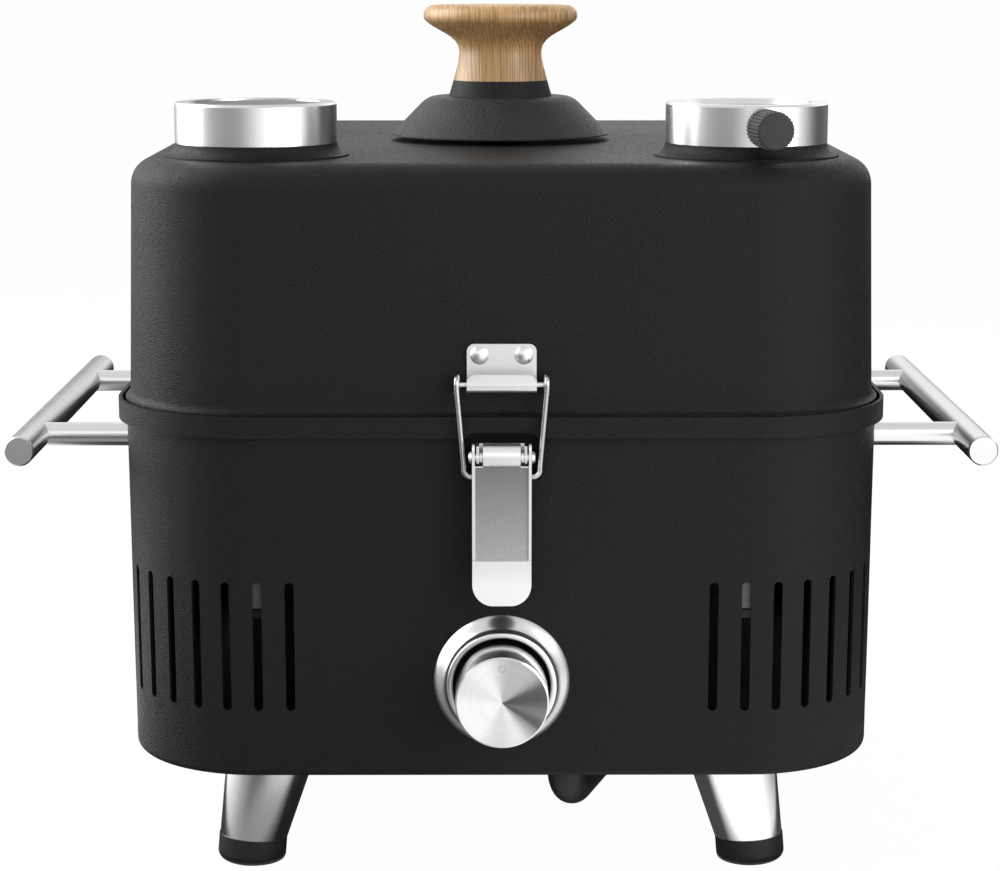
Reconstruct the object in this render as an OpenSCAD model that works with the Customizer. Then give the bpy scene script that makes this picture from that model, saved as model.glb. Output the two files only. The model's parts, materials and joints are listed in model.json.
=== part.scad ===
// Portable gas grill: a square pressed-steel tub on four legs, with a lift-off lid on two toggle latches
// Millimetres, +Z up, front face towards -Y, origin on the ground under the middle of the bounding box

/* [Body] */
// Width of the base, side to side
body_w = 419; // [400:1:440]
// Depth of the base, front to back
body_d = 419; // [400:1:440]
// Plan radius of the four body corners
corner_r = 74.5; // [72:0.5:78]
// Thickness of the pressed steel
sheet_t = 2; // [1.6:0.1:2.4]
// Height of the floor above the ground
floor_z = 69; // [64:0.5:76]
// Height of the base from its floor to the underside of its rim
base_h = 188.5; // [184:0.5:196]
// How far the base wall leans in from rim to floor
base_draft = 1; // [0.5:0.1:2]
// Radius of the bottom edge of the base
floor_edge_r = 4; // [3:0.5:6]
// How far the rim stands out of the wall
rim_out = 4.5; // [4:0.1:5.5]
// Height of the rim band
rim_h = 12.5; // [11:0.5:16]
// Height of the ledge inside the rim above the rim's underside
ledge_h = 6; // [4:0.5:7]

/* [Vent slots] */
// Slots round each corner
slots_per_corner = 10; // [4:2:10]
// Distance between slots along the wall
slot_pitch = 17.5; // [15:0.5:19]
// Width of a slot
slot_w = 5; // [3:0.5:6]
// Height of a slot
slot_h = 72; // [50:1:76]
// Height of the slots' lower ends above the floor
slot_rise = 37.5; // [32:0.5:42]

/* [Lid] */
// Height of the lid from its lower edge to its flat top
lid_h = 137.5; // [120:0.5:150]
// Gap in plan between the base wall and the lid wall at the lid's lower edge
lid_inset = 2; // [1.8:0.1:2.5]
// How far the lid wall leans in from its lower edge to its top rounding
lid_draft = 3.5; // [2:0.1:5]
// Radius of the lid's top edge
lid_edge_r = 15; // [12:0.5:16]
// Height of the flared collar under each cup
collar_h = 7.4; // [6:0.1:9]
// Radius of the collar's flare
collar_flare = 6.5; // [5:0.1:7]
// Travel of the lid when it is lifted off
lid_lift = 260; // [150:5:300]

/* [Cups on the lid] */
// Outside diameter of a cup
cup_d = 89; // [86:0.5:90]
// Height of a cup
cup_h = 22; // [20:0.5:26]
// Diameter inside a cup's top ring
cup_mouth_d = 71; // [66:0.5:74]
// Diameter of the vent's throat
throat_d = 35; // [30:0.5:38]
// Direction of the damper knob, turned from straight ahead towards the side
damper_angle = 7; // [0:1:20]
// Diameter of the damper knob
damper_knob_d = 20.8; // [16:0.4:22]
// Length of the damper knob
damper_knob_l = 25; // [16:0.5:28]
// Grooves round the damper knob
damper_grooves = 32; // [16:2:36]
// Diameter of the damper shaft
damper_shaft_d = 5; // [4:0.5:6]

/* [Lid knob] */
// Diameter of the skirt under the knob
skirt_d = 130.6; // [120:0.2:140]
// Gap between the lid and the skirt's edge
skirt_gap = 3; // [2:0.5:5]
// Height of the skirt
skirt_h = 23; // [20:0.5:26]
// Height of the black collar under the wood
knob_collar_h = 9.5; // [8:0.5:12]
// Diameter of the collar at its foot
knob_foot_d = 62; // [58:0.5:66]
// Diameter of the wood at its foot
grip_foot_d = 56.4; // [52:0.4:57]
// Diameter of the wood at its waist
grip_waist_d = 49.4; // [46:0.2:51]
// Diameter of the wood at its rim
grip_rim_d = 92.8; // [86:0.2:98]
// Height of the wooden grip
grip_h = 44.6; // [42:0.2:48]

/* [Gas control] */
// Height of the knob's axis above the floor
control_rise = 55; // [52:0.5:58]
// Diameter of the gas knob
gas_knob_d = 49.5; // [46:0.5:51]
// How far the gas knob stands out of the wall
gas_knob_reach = 42.5; // [38:0.5:46]
// How far the knob can be pushed in
push_travel = 4; // [3:0.5:5]
// Diameter of the bezel at the wall
bezel_d = 74; // [70:0.5:80]
// Diameter of the bezel's mouth, outside
bezel_mouth_d = 59; // [57:0.5:62]
// Diameter of the bezel's mouth, inside
bezel_bore_d = 53; // [52:0.5:55]
// How far the bezel stands out of the wall
bezel_h = 12; // [10:0.5:14]
// Diameter of the valve stem
stem_d = 6; // [5:0.5:8]

/* [Legs and handles] */
// Distance from a leg's top to the body's outer faces
leg_inset = 78.5; // [72:0.5:84]
// Diameter of a leg at the floor
leg_top_d = 53.2; // [48:0.4:56]
// Diameter of a leg where it meets its foot
leg_low_d = 38.4; // [35:0.2:42]
// Lean of each leg towards its corner, in degrees
leg_lean = 17; // [10:0.5:20]
// Lean of each foot towards its corner, in degrees
foot_lean = 6.5; // [2:0.5:10]
// Height of the black foot
foot_h = 13.5; // [10:0.5:18]
// Height of the handles below the rim
handle_drop = 18.5; // [16:0.5:24]
// Distance from the base's side to the axis of a handle bar
handle_out = 60; // [50:0.5:70]
// Diameter of a handle bar
handle_d = 17; // [15:0.5:18]
// Length of a handle bar
handle_l = 298; // [280:1:320]
// Diameter of a handle post
post_d = 13.5; // [12:0.5:14.5]
// Distance between the posts of a handle
post_pitch = 190; // [180:1:220]

/* [Latches] */
// Diameter of the bail wire
wire_d = 3.2; // [2.8:0.1:3.4]
// Width across the bail at its eyes
bail_w = 47.8; // [46:0.2:49]
// Distance from the bail's eyes down to its lower ends
bail_l = 48.7; // [47:0.1:50]
// Width of the latch lever
lever_w = 31.4; // [30:0.2:33]
// Length of the latch lever below its pivot
lever_l = 79; // [70:0.5:84]
// Width of the strike on the lid
strike_w = 37; // [35:0.5:38]
// Height of the strike on the lid
strike_h = 25; // [23:0.5:29]
// Height of the bail's eyes above the rim
eye_rise = 17.5; // [16:0.5:19]

/* [Firebox and burner] */
// Gap between the base's wall and the firebox
firebox_gap = 54.5; // [52:0.5:62]
// Height of the firebox floor above the base floor
firebox_rise = 34; // [32:0.5:36]
// Thickness of the firebox sheet
firebox_t = 1.5; // [1.2:0.1:2]
// Diameter of the burner ring at the middle of its tube
ring_d = 160; // [140:1:180]
// Diameter of the burner tube
ring_tube_d = 18; // [16:0.5:19]
// Bars of the cooking grate
grate_bars = 19; // [13:2:23]
// Thickness of the cooking grate
grate_t = 9; // [7:0.5:12]
// How far the cooking grate reaches over the firebox's edge
grate_lap = 10; // [6:0.5:14]

/* [Gas inlet] */
// Outside diameter of the inlet elbow
elbow_d = 20.7; // [17:0.1:22]
// Radius of the elbow's bend
elbow_bend = 19; // [16:0.5:21]
// Length of the elbow's straight run
elbow_run = 46; // [40:1:60]
// Turn of the elbow from straight back towards the side
elbow_turn = 18; // [10:1:24]
// Distance of the elbow from the middle plane
elbow_x = 35.7; // [34:0.1:42]
// Distance of the elbow behind the front wall
elbow_back = 28; // [26:0.5:30]
// Diameter of the inlet's male thread
inlet_thread_d = 15.8; // [13:0.1:16]
// Length of the inlet's male thread
inlet_thread_l = 14; // [12:0.5:18]

/* [Grease tray] */
// Width of the grease tray
tray_w = 160; // [140:1:170]
// Depth of the grease tray, front to back
tray_l = 280; // [220:1:290]
// Height of the grease tray
tray_h = 22; // [18:0.5:26]

/* [Fits] */
// Gap between pieces that move past each other
run_gap = 0.3; // [0.2:0.05:0.4]
// Radial clearance of a turning shaft
shaft_gap = 0.05; // [0.02:0.01:0.08]
// Radial clearance of a bolt in its hole
bolt_gap = 0.1; // [0.05:0.05:0.2]

/* [Hidden] */
$fn = 64;
eps = 0.01;
// Length by which a cutting tool runs past a face
cut = 1;

// Body levels
half_w = body_w / 2;
half_d = body_d / 2;
floor_top = floor_z + sheet_t;
rim_z = floor_z + base_h;
rim_top = rim_z + rim_h;
ledge_z = rim_z + ledge_h;
seat_gap = 0.3;
seat_touch = 0.02;
lid_z = ledge_z + firebox_t + seat_gap;
lid_top = lid_z + lid_h;
lid_shoulder = lid_top - lid_edge_r;
lid_flare_z = rim_top + 0.5;
lid_flare_h = 5;
lid_flare_out = 2.6;
lid_flare_ease = [1.6, 0.4, 3];
lid_flare_steps = 6;
rim_slope = 1;

// Latch places, measured from the front wall's plane with -Y forwards
eye_y = -4;
eye_z = rim_top + eye_rise;
eye_r = 4.55;
wire_r = wire_d / 2;
bail_y = eye_y - eye_r;
bar_z = eye_z - bail_l;
eye_turn = 270;
bail_bend_r = 3.6;
bail_stub = 0.6;
bail_end = 2;
bail_lap = 0.5;
bail_lap_step = 0.08;
pin_neck_r = 1.4;
pivot_out = 6;
pivot_y = bail_y - pivot_out;
pivot_rise = 11.5;
pivot_z = bar_z + pivot_rise;
pivot_r = 2;
rivet_r = 3.5;
rivet_h = 1.6;
rivet_crown_r = 2.3;
pad_over = 0.2;
pad_t = rim_out + pad_over;
pad_w = 41.4;
pad_low = 21;
pad_top = ledge_z - sheet_t;
pad_chamfer = [5, 4];
bracket_t = 1.2;
bracket_low = 6.3;
bracket_rise = 6;
cheek_x = 12;
cheek_t = 1.4;
cheek_r = 3.8;
cheek_nose = [3, 2.4];
bush_x = 10.3;
bush_t = 1.4;
bush_r = 3;
ear_t = 1.4;
ear_r = 3.5;
ear_rise = 4;
ear_x = lever_w / 2 - ear_t;
roll_r = 6.6;
roll_w = 19.8;
roll_back = 1;
roll_up = 0.6;
web_out = 2.3;
web_front = pivot_y - web_out;
web_t = 1.6;
lever_drop = 4.4;
lever_top = pivot_z - lever_drop;
lever_low = pivot_z - lever_l;
tab_h = 22.5;
tab_out = 5;
lever_reach = -web_front + tab_out;
lever_corner_r = 11;
rail_ease = [2, 3, 6];

rivet_shank_r = 2;
rivet_head_r = 5;
rivet_x = 11.8;
strike_t = 1.5;
strike_fold = 3;
strike_drop = 4;
strike_low = eye_z - strike_drop;
strike_top = strike_low + strike_h;
strike_back = -lid_wall(strike_low) - seat_touch;
strike_roll_r = 4.2;
strike_corner = 4;
lip_rise = 5.8;
lip_drop = 2.4;
lip_r = 4.4;
lip_t = 1.3;
rivet_drop = 6;
rivet_z = strike_top - rivet_drop;
rivet_dome = 2.4;

// Place of the body's middle, so that the bounding box is centred on the origin
body_y = (gas_knob_reach - lever_reach) / 2;

// Gas control
control_z = floor_z + control_rise;
knob_back = 7;
knob_edge = 0.8;
knob_cap = 5;
dot_r = 2;
dot_depth = 0.4;
dot_place = 18.7;
collar_t = 2;
collar_over = 4;
bezel_foot = 1.5;
bezel_swell = [0.5, 5, 3.6, 1];
bezel_steps = 7;
bezel_step = 1;
valve_y = sheet_t + base_draft;
valve_l = 36;
valve_d = 26;
valve_flange_d = 40;
valve_flange_t = 3;
stem_end = 22;
branch_r = 8;
branch_l = 18;
pipe_r = 4;
pipe_x = 14;
pipe_bend = 9;
pipe_seat = 4;
jet_l = 9;
jet_hex_l = 5;
jet_hex_r = 5;
jet_shank_l = 6;
jet_shank_r = 3;
jet_tip_r = [4, 2];
elbow_upright = 8;
elbow_reach = elbow_bend + elbow_run;
elbow_end_l = 16;
knuckle_over = 0.6;
inlet_nut_l = 10;
inlet_nut_over = 1;

// Firebox and burner
firebox_z = floor_top + firebox_rise;
firebox_w = min(body_w, body_d) - 2 * firebox_gap;
firebox_half = firebox_w / 2;
firebox_corner = 14;
flange_gap = 1;
flange_over = rim_out - sheet_t - flange_gap;
burner_z = control_z;
ring_r = ring_d / 2;
tube_r = ring_tube_d / 2;
jet_in = 0.5;
feed_front = -half_d + valve_y + valve_l + jet_l - jet_in;
feed_r = tube_r - 1;
feed_bore_r = tube_r - 3;
port_count = 18;
port_r = 1.3;
port_depth = 4;
ring_feet = 3;
ring_foot_r = 4;
drain_r = 8;
stay_in = 17;
stay_x = firebox_half - stay_in;
stay_rise = 50;
stay_z = firebox_z + stay_rise;
stay_t = 1.5;
stay_w = 16;
stay_h = 20;
igniter_x = -34;
igniter_r = 4;
igniter_rise = 6;
igniter_z = burner_z + tube_r + igniter_rise;
igniter_out = 14;
igniter_flange = 3;
igniter_short = 14;
igniter_in = firebox_half - ring_r - igniter_short;
electrode_r = 1.2;
electrode_end = 6;
grate_w = firebox_w + 2 * grate_lap;
grate_rim = 10;
grate_bar_w = 7;
grate_corner = 20;
grate_step = 1;

// Cups stand over the centres of the two front corners
cup_x = half_w - corner_r;
cup_y = -(half_d - corner_r);
cup_r = cup_d / 2;
mouth_r = cup_mouth_d / 2;
cup_z = lid_top + collar_h;
cup_top = cup_z + cup_h;
collar_wall = 4.5;
collar_bore_r = cup_r - collar_wall;
spigot_r = collar_bore_r - bolt_gap;
spigot_l = 5;
throat_r = throat_d / 2;
damper_rise = 10;
damper_z = cup_z + damper_rise;
shaft_r = damper_shaft_d / 2;
damper_gap = 1;
damper_cap = 4;
damper_edge = 2;
groove_r = 0.8;
groove_sink = 0.8;
flap_t = 1.2;
dial_drop = 12;
dial_z = cup_top - dial_drop;
dial_gap = 1.2;
dial_r = mouth_r - dial_gap;
lens_t = 2.5;
lens_drop = 0.5;
lens_z = cup_top - lens_drop - lens_t;
lens_seat = 0.8;
lens_r = mouth_r + lens_seat;
spindle_r = 1.5;
spindle_l = 5;
cup_edge = 1.2;
spigot_t = 3;
probe_r = 3;
probe_l = 55;
probe_nut_r = 8;
probe_nut_h = 4;
probe_boss_r = 12;
cup_floor_t = 3;
dial_t = 1;
needle_hub_r = 4;
needle_hub_h = 2.5;
needle_t = 0.8;
needle_tail = 12;
needle_w = [2.2, 0.5];
needle_short = 7;
dish_cover = 1.5;
dish_lip = [2, 3];
shaft_tail = 7;
shaft_flat = 1;

// Lid knob
skirt_z = lid_top + skirt_gap;
skirt_t = 2;
skirt_boss_r = 12;
skirt_crown_r = 37.5;
skirt_shoulder = [47, 3.6];
skirt_ease = [3.4, 2.8, 4];
skirt_steps = 6;
skirt_lip = 0.8;
skirt_under = 3;
knob_collar_z = skirt_z + skirt_h;
grip_z = knob_collar_z + knob_collar_h;
bolt_r = 4;
bolt_head_r = 8;
bolt_head_h = 5;
knob_bolt_l = 26;
grip_waist_h = 17;
grip_rim_h = 11;
grip_flank = [1.2, 5];
grip_hollow = 6;
grip_flare = [9, 5];
grip_edge = [2, 1];
grip_bulge = [1.2, 3, 0.6];
grip_top = 8;
grip_dip = 0.3;
grip_bore = 27;
grip_steps = 7;

// Legs and handles
leg_l = (floor_z - foot_h) / cos(leg_lean);
foot_edge_r = 6;
handle_x = half_w + handle_out;
handle_z = rim_z - handle_drop;
screw_r = 3;
screw_head_r = 5.5;
screw_head_h = 3.2;
screw_dome_r = 7;
screw_crown = 0.5;
screw_end = 2;
post_screw_l = 10;
post_bore_l = 12;
handle_edge = 0.8;
leg_bolt_l = 24;
leg_bore_l = 26;
foot_over = 0.3;

// Grease tray
tray_z = floor_top + run_gap;
tray_t = 1.5;
tray_face_t = 2;
tray_face_over = 5;
tray_grip = [12, 2];
rail_t = 3;
rail_h = 9;

// Colours
black_paint = [0.09, 0.09, 0.095];
steel = [0.75, 0.75, 0.76];
dark_steel = [0.25, 0.25, 0.26];
brass = [0.78, 0.62, 0.3];
rubber = [0.06, 0.06, 0.06];
wood = [0.72, 0.52, 0.3];
glass = [0.8, 0.9, 0.95, 0.4];

// How far the base wall leans in at a height
function base_wall(z) = base_draft * (rim_z - z) / base_h;

// Offset of the lid's outer wall from the body outline at a height
function lid_wall(z) = -lid_inset - lid_draft * (z - lid_z) / (lid_shoulder - lid_z);

// Point on a cubic curve
function curve(p, t) =
    pow(1 - t, 3) * p[0] + 3 * t * pow(1 - t, 2) * p[1] + 3 * t * t * (1 - t) * p[2] + pow(t, 3) * p[3];

// Points along a cubic curve, without its first one
function curve_points(p, steps) = [for (i = [1:steps]) curve(p, i / steps)];

// Shared shapes

// Everything is modelled about the body's middle and then moved to the frame
module placed() {
    translate([0, body_y, 0]) children();
}

// Work on the front wall's plane, or on the rear one
module on_wall(rear = false) {
    rotate([0, 0, rear ? 180 : 0]) translate([0, -half_d, 0]) children();
}

// Rectangle with round corners, about the origin
module round_rect(w, d, r) {
    square([w - 2 * r, d], center = true);
    square([w, d - 2 * r], center = true);
    for (x = [-1, 1], y = [-1, 1]) translate([x * (w / 2 - r), y * (d / 2 - r)]) circle(r);
}

// Sweeps a section round the body outline: its x is the distance outside the outline, its y the height
module sweep_round_body() {
    straight_x = body_w - 2 * corner_r;
    straight_y = body_d - 2 * corner_r;
    for (i = [0:3]) {
        side = i % 2 == 0 ? straight_x : straight_y;
        out = i % 2 == 0 ? half_d : half_w;
        rotate([0, 0, 90 * i]) translate([-side / 2, -out, 0]) rotate([90, 0, 90]) linear_extrude(side)
            mirror([1, 0]) children();
        translate([(i == 0 || i == 3 ? 1 : -1) * straight_x / 2, (i < 2 ? 1 : -1) * straight_y / 2, 0])
            rotate([0, 0, 90 * i]) rotate_extrude(angle = 90) translate([corner_r, 0]) children();
    }
}

// Flat plate between the inner ends of a swept section
module middle_plate(z, t) {
    translate([-(half_w - corner_r), -(half_d - corner_r), z])
        cube([body_w - 2 * corner_r, body_d - 2 * corner_r, t]);
}

// A round bar that runs straight, turns and rolls, step by step
module bar_run(r, steps, i = 0) {
    if (i < len(steps)) {
        kind = steps[i][0];
        if (kind == "line") {
            cylinder(h = steps[i][1], r = r);
            translate([0, 0, steps[i][1]]) bar_run(r, steps, i + 1);
        }
        if (kind == "turn") {
            bend = steps[i][1];
            angle = steps[i][2];
            translate([bend, 0, 0]) rotate([90, 0, 0]) rotate([0, 0, 180 - angle])
                rotate_extrude(angle = angle) translate([bend, 0]) circle(r);
            translate([bend * (1 - cos(angle)), 0, bend * sin(angle)]) rotate([0, angle, 0])
                bar_run(r, steps, i + 1);
        }
        if (kind == "roll") rotate([0, 0, steps[i][1]]) bar_run(r, steps, i + 1);
    }
}

// Cylinder along X, centred on the middle plane
module cross_bar(l, r) {
    rotate([0, 90, 0]) cylinder(h = l, r = r, center = true);
}

// Plate with its outline in the front view: x across, y up, at y_front and t deep
module front_plate(y_front, t) {
    translate([0, y_front + t, 0]) rotate([90, 0, 0]) linear_extrude(t) children();
}

// Plate with its outline in the side view: x towards the rear, y up, centred on the middle plane
module side_plate(w) {
    rotate([90, 0, 90]) linear_extrude(w, center = true) children();
}

// Base shell

module base_section() {
    outer_low = -base_draft;
    difference() {
        polygon([
            [-corner_r, floor_z], [outer_low, floor_z], [0, rim_z], [rim_out, rim_z + rim_slope],
            [rim_out, rim_top], [rim_out - sheet_t, rim_top],
            [rim_out - sheet_t, ledge_z], [-sheet_t, ledge_z],
            [outer_low - sheet_t, floor_top], [-corner_r, floor_top]
        ]);
        translate([outer_low - floor_edge_r, floor_z]) difference() {
            translate([0, -cut]) square([floor_edge_r + cut, floor_edge_r + cut]);
            translate([0, floor_edge_r]) circle(floor_edge_r);
        }
    }
}

// Place of the slot at a distance along the wall from the middle of a corner's arc
module at_slot(s) {
    half_arc = corner_r * PI / 4;
    if (abs(s) <= half_arc) {
        rotate([0, 0, s / corner_r * 180 / PI]) translate([corner_r, 0, 0]) children();
    } else {
        over = abs(s) - half_arc;
        side = s > 0 ? 1 : -1;
        rotate([0, 0, side * 45]) translate([corner_r, side * over, 0]) children();
    }
}

module vent_slot() {
    depth = 4 * sheet_t;
    translate([-depth / 2, 0, floor_z + slot_rise]) rotate([90, 0, 90]) linear_extrude(depth) {
        translate([-slot_w / 2, slot_w / 2]) square([slot_w, slot_h - slot_w]);
        for (z = [slot_w / 2, slot_h - slot_w / 2]) translate([0, z]) circle(slot_w / 2);
    }
}

module vent_slots() {
    for (i = [0:3]) {
        x = (i == 0 || i == 3) ? 1 : -1;
        y = i < 2 ? 1 : -1;
        translate([x * (half_w - corner_r), y * (half_d - corner_r), 0]) rotate([0, 0, 45 + 90 * i])
            for (k = [0:slots_per_corner - 1])
                at_slot((k - (slots_per_corner - 1) / 2) * slot_pitch) vent_slot();
    }
}

module pad_outline(grow) {
    w = pad_w / 2 + grow;
    top = pad_top + grow;
    low = rim_z - pad_low - grow;
    polygon([
        [-w, low], [w, low], [w, top - pad_chamfer[1]], [w - pad_chamfer[0], top],
        [-w + pad_chamfer[0], top], [-w, top - pad_chamfer[1]]
    ]);
}

module base_shell() {
    tray_slot_h = tray_h + 2 * run_gap;
    color(black_paint) placed() difference() {
        union() {
            sweep_round_body() base_section();
            middle_plate(floor_z, sheet_t);
        }
        vent_slots();
        for (rear = [false, true]) on_wall(rear)
            front_plate(-2 * rim_out, 2 * rim_out) pad_outline(bolt_gap);
        on_wall() translate([0, 2 * sheet_t, control_z]) rotate([90, 0, 0])
            cylinder(h = 4 * sheet_t, d = 2 * stem_d);
        on_wall(true) translate([-tray_w / 2 - 2 * run_gap, -2 * sheet_t, floor_top + eps])
            cube([tray_w + 4 * run_gap, 4 * sheet_t, tray_slot_h]);
        at_elbow(floor_z - sheet_t) cylinder(h = 3 * sheet_t, r = elbow_d / 2 + bolt_gap);
        at_legs() translate([0, 0, floor_z - sheet_t]) cylinder(h = 3 * sheet_t, r = bolt_r + bolt_gap);
        at_posts() translate([half_w - 3 * sheet_t, 0, 0]) rotate([0, 90, 0])
            cylinder(h = 4 * sheet_t, r = screw_r + bolt_gap);
    }
}

// Legs and feet

module at_legs() {
    for (x = [-1, 1], y = [-1, 1]) at_leg(x, y) children();
}

module at_leg(x, y) {
    translate([x * (half_w - leg_inset), y * (half_d - leg_inset), 0]) children();
}

// Leans what it holds towards a corner, about the leg's top
module leaning(x, y) {
    at_leg(x, y) translate([0, 0, floor_z]) rotate([0, 0, atan2(y, x)]) rotate([0, -leg_lean, 0]) children();
}

// Middle of a foot's top, with the foot's lean
module at_foot(x, y) {
    out = (floor_z - foot_h) * tan(leg_lean);
    at_leg(x, y) rotate([0, 0, atan2(y, x)]) translate([out, 0, foot_h])
        rotate([0, -foot_lean, 0]) children();
}

module leg(x, y) {
    over = leg_top_d / 2 * sin(leg_lean) + cut;
    under = leg_low_d / 2 * tan(leg_lean) + cut;
    slope = (leg_top_d - leg_low_d) / 2 / leg_l;
    low_r = leg_low_d / 2 - slope * under;
    top_r = leg_top_d / 2 + slope * over;
    color(steel) placed() difference() {
        leaning(x, y) translate([0, 0, -leg_l - under])
            cylinder(h = under + leg_l + over, r1 = low_r, r2 = top_r);
        at_leg(x, y) translate([-leg_top_d, -leg_top_d, floor_z])
            cube([2 * leg_top_d, 2 * leg_top_d, 2 * over]);
        at_foot(x, y) translate([-leg_top_d, -leg_top_d, -leg_top_d])
            cube([2 * leg_top_d, 2 * leg_top_d, leg_top_d]);
        at_leg(x, y) translate([0, 0, floor_z - leg_bore_l]) cylinder(h = leg_bore_l + 2 * over, r = bolt_r);
    }
}

module foot(x, y) {
    r = leg_low_d / 2 + foot_over;
    low = r - foot_edge_r;
    l = foot_h / cos(foot_lean) + r * sin(foot_lean);
    color(rubber) placed() difference() {
        at_foot(x, y) translate([0, 0, -l]) rotate_extrude() {
            square([low, l]);
            translate([0, foot_edge_r]) square([r, l - foot_edge_r]);
            intersection() {
                translate([low, foot_edge_r]) circle(foot_edge_r);
                square([r, foot_edge_r]);
            }
        }
        at_leg(x, y) translate([-2 * leg_top_d, -2 * leg_top_d, -leg_top_d])
            cube([4 * leg_top_d, 4 * leg_top_d, leg_top_d]);
    }
}

module leg_bolts() {
    color(dark_steel) placed() at_legs() {
        translate([0, 0, floor_top]) cylinder(h = bolt_head_h, r = bolt_head_r);
        translate([0, 0, floor_z - leg_bolt_l]) cylinder(h = leg_bolt_l + sheet_t, r = bolt_r);
    }
}

// Handles

module at_posts() {
    for (turn = [0, 180], y = [-1, 1]) rotate([0, 0, turn])
        translate([0, y * post_pitch / 2, handle_z]) children();
}

module handle_bar(side) {
    r = handle_d / 2;
    color(steel) placed() translate([side * handle_x, -handle_l / 2, handle_z]) rotate([-90, 0, 0])
        rotate_extrude() polygon([
            [0, 0], [r - handle_edge, 0], [r, handle_edge], [r, handle_l - handle_edge],
            [r - handle_edge, handle_l], [0, handle_l]
        ]);
}

module handle_posts(side) {
    color(steel) placed() difference() {
        for (y = [-1, 1]) translate([side * half_w, y * post_pitch / 2, handle_z]) rotate([0, side * 90, 0])
            difference() {
                cylinder(h = handle_x - half_w, d = post_d);
                translate([0, 0, -cut]) cylinder(h = post_bore_l + cut, r = screw_r);
            }
        translate([side * handle_x, 0, handle_z]) rotate([90, 0, 0])
            cylinder(h = handle_l, d = handle_d, center = true);
    }
}

// Domed screw head and shank along +Z, head below
module pan_screw(l) {
    intersection() {
        translate([0, 0, -screw_head_h]) cylinder(h = screw_head_h, r = screw_head_r);
        translate([0, 0, screw_dome_r - screw_head_h - screw_crown]) sphere(r = screw_dome_r);
    }
    cylinder(h = l, r = screw_r);
}

module case_screws() {
    inside = half_w - base_wall(handle_z) - sheet_t - bolt_gap;
    stay_screw_l = stay_t + firebox_t + screw_end;
    color(dark_steel) placed() {
        at_posts() translate([inside, 0, 0]) rotate([0, 90, 0]) pan_screw(post_screw_l);
        at_brackets() translate([0, -stay_t, 0]) rotate([-90, 0, 0]) pan_screw(stay_screw_l);
    }
}

// Firebox

// Outer face of the firebox wall at each stay, front and rear
module at_brackets() {
    for (turn = [0, 180], x = [-1, 1]) rotate([0, 0, turn])
        translate([x * stay_x, -firebox_half, stay_z]) children();
}

module firebox() {
    opening = firebox_w - 2 * firebox_t;
    color(dark_steel) placed() difference() {
        union() {
            translate([0, 0, ledge_z]) linear_extrude(firebox_t)
                round_rect(body_w + 2 * flange_over, body_d + 2 * flange_over, corner_r + flange_over);
            translate([0, 0, firebox_z]) linear_extrude(ledge_z - firebox_z + eps)
                round_rect(firebox_w, firebox_w, firebox_corner);
        }
        translate([0, 0, firebox_z + firebox_t]) linear_extrude(ledge_z - firebox_z + firebox_t)
            round_rect(opening, opening, firebox_corner - firebox_t);
        translate([0, 0, firebox_z - cut]) cylinder(h = 2 * firebox_t + cut, r = drain_r);
        translate([0, -firebox_half + 3 * firebox_t, burner_z]) rotate([90, 0, 0])
            cylinder(h = 6 * firebox_t, r = tube_r + run_gap);
        translate([igniter_x, -firebox_half + 3 * firebox_t, igniter_z]) rotate([90, 0, 0])
            cylinder(h = 6 * firebox_t, r = igniter_r + bolt_gap);
        at_brackets() translate([0, 3 * firebox_t, 0]) rotate([90, 0, 0])
            cylinder(h = 6 * firebox_t, r = screw_r);
    }
}

// Z-shaped stays: one leg on the firebox, a web across the gap, one leg on the shell
module firebox_brackets() {
    inner_r = corner_r - sheet_t - base_draft;
    round_corner = max(0, stay_x + stay_w / 2 - half_w + corner_r);
    bow = inner_r - sqrt(inner_r * inner_r - round_corner * round_corner);
    reach = half_d - firebox_half - sheet_t - base_wall(stay_z) - bow - bolt_gap;
    color(steel) placed() at_brackets() difference() {
        union() {
            translate([-stay_w / 2, -stay_t, -stay_h / 2]) cube([stay_w, stay_t, stay_h]);
            translate([-stay_w / 2, -reach, stay_h / 2 - stay_t]) cube([stay_w, reach, stay_t]);
            translate([-stay_w / 2, -reach, stay_h / 2 - stay_t]) cube([stay_w, stay_t, stay_h]);
        }
        translate([0, cut, 0]) rotate([90, 0, 0]) cylinder(h = 2 * cut + stay_t, r = screw_r);
    }
}

module cooking_grate() {
    inside = grate_w - 2 * grate_rim;
    pitch = inside / (grate_bars + 1);
    color(dark_steel) placed() translate([0, 0, ledge_z + firebox_t + run_gap]) {
        linear_extrude(grate_t) difference() {
            round_rect(grate_w, grate_w, grate_corner);
            round_rect(inside, inside, grate_corner - grate_rim);
        }
        for (i = [1:grate_bars])
            translate([-inside / 2 + i * pitch - grate_bar_w / 2, -inside / 2 - eps, grate_step])
            cube([grate_bar_w, inside + 2 * eps, grate_t - 2 * grate_step]);
        translate([-inside / 2 - eps, -grate_bar_w / 2, grate_step])
            cube([inside + 2 * eps, grate_bar_w, grate_t - 3 * grate_step]);
    }
}

// Burner and gas feed

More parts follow.
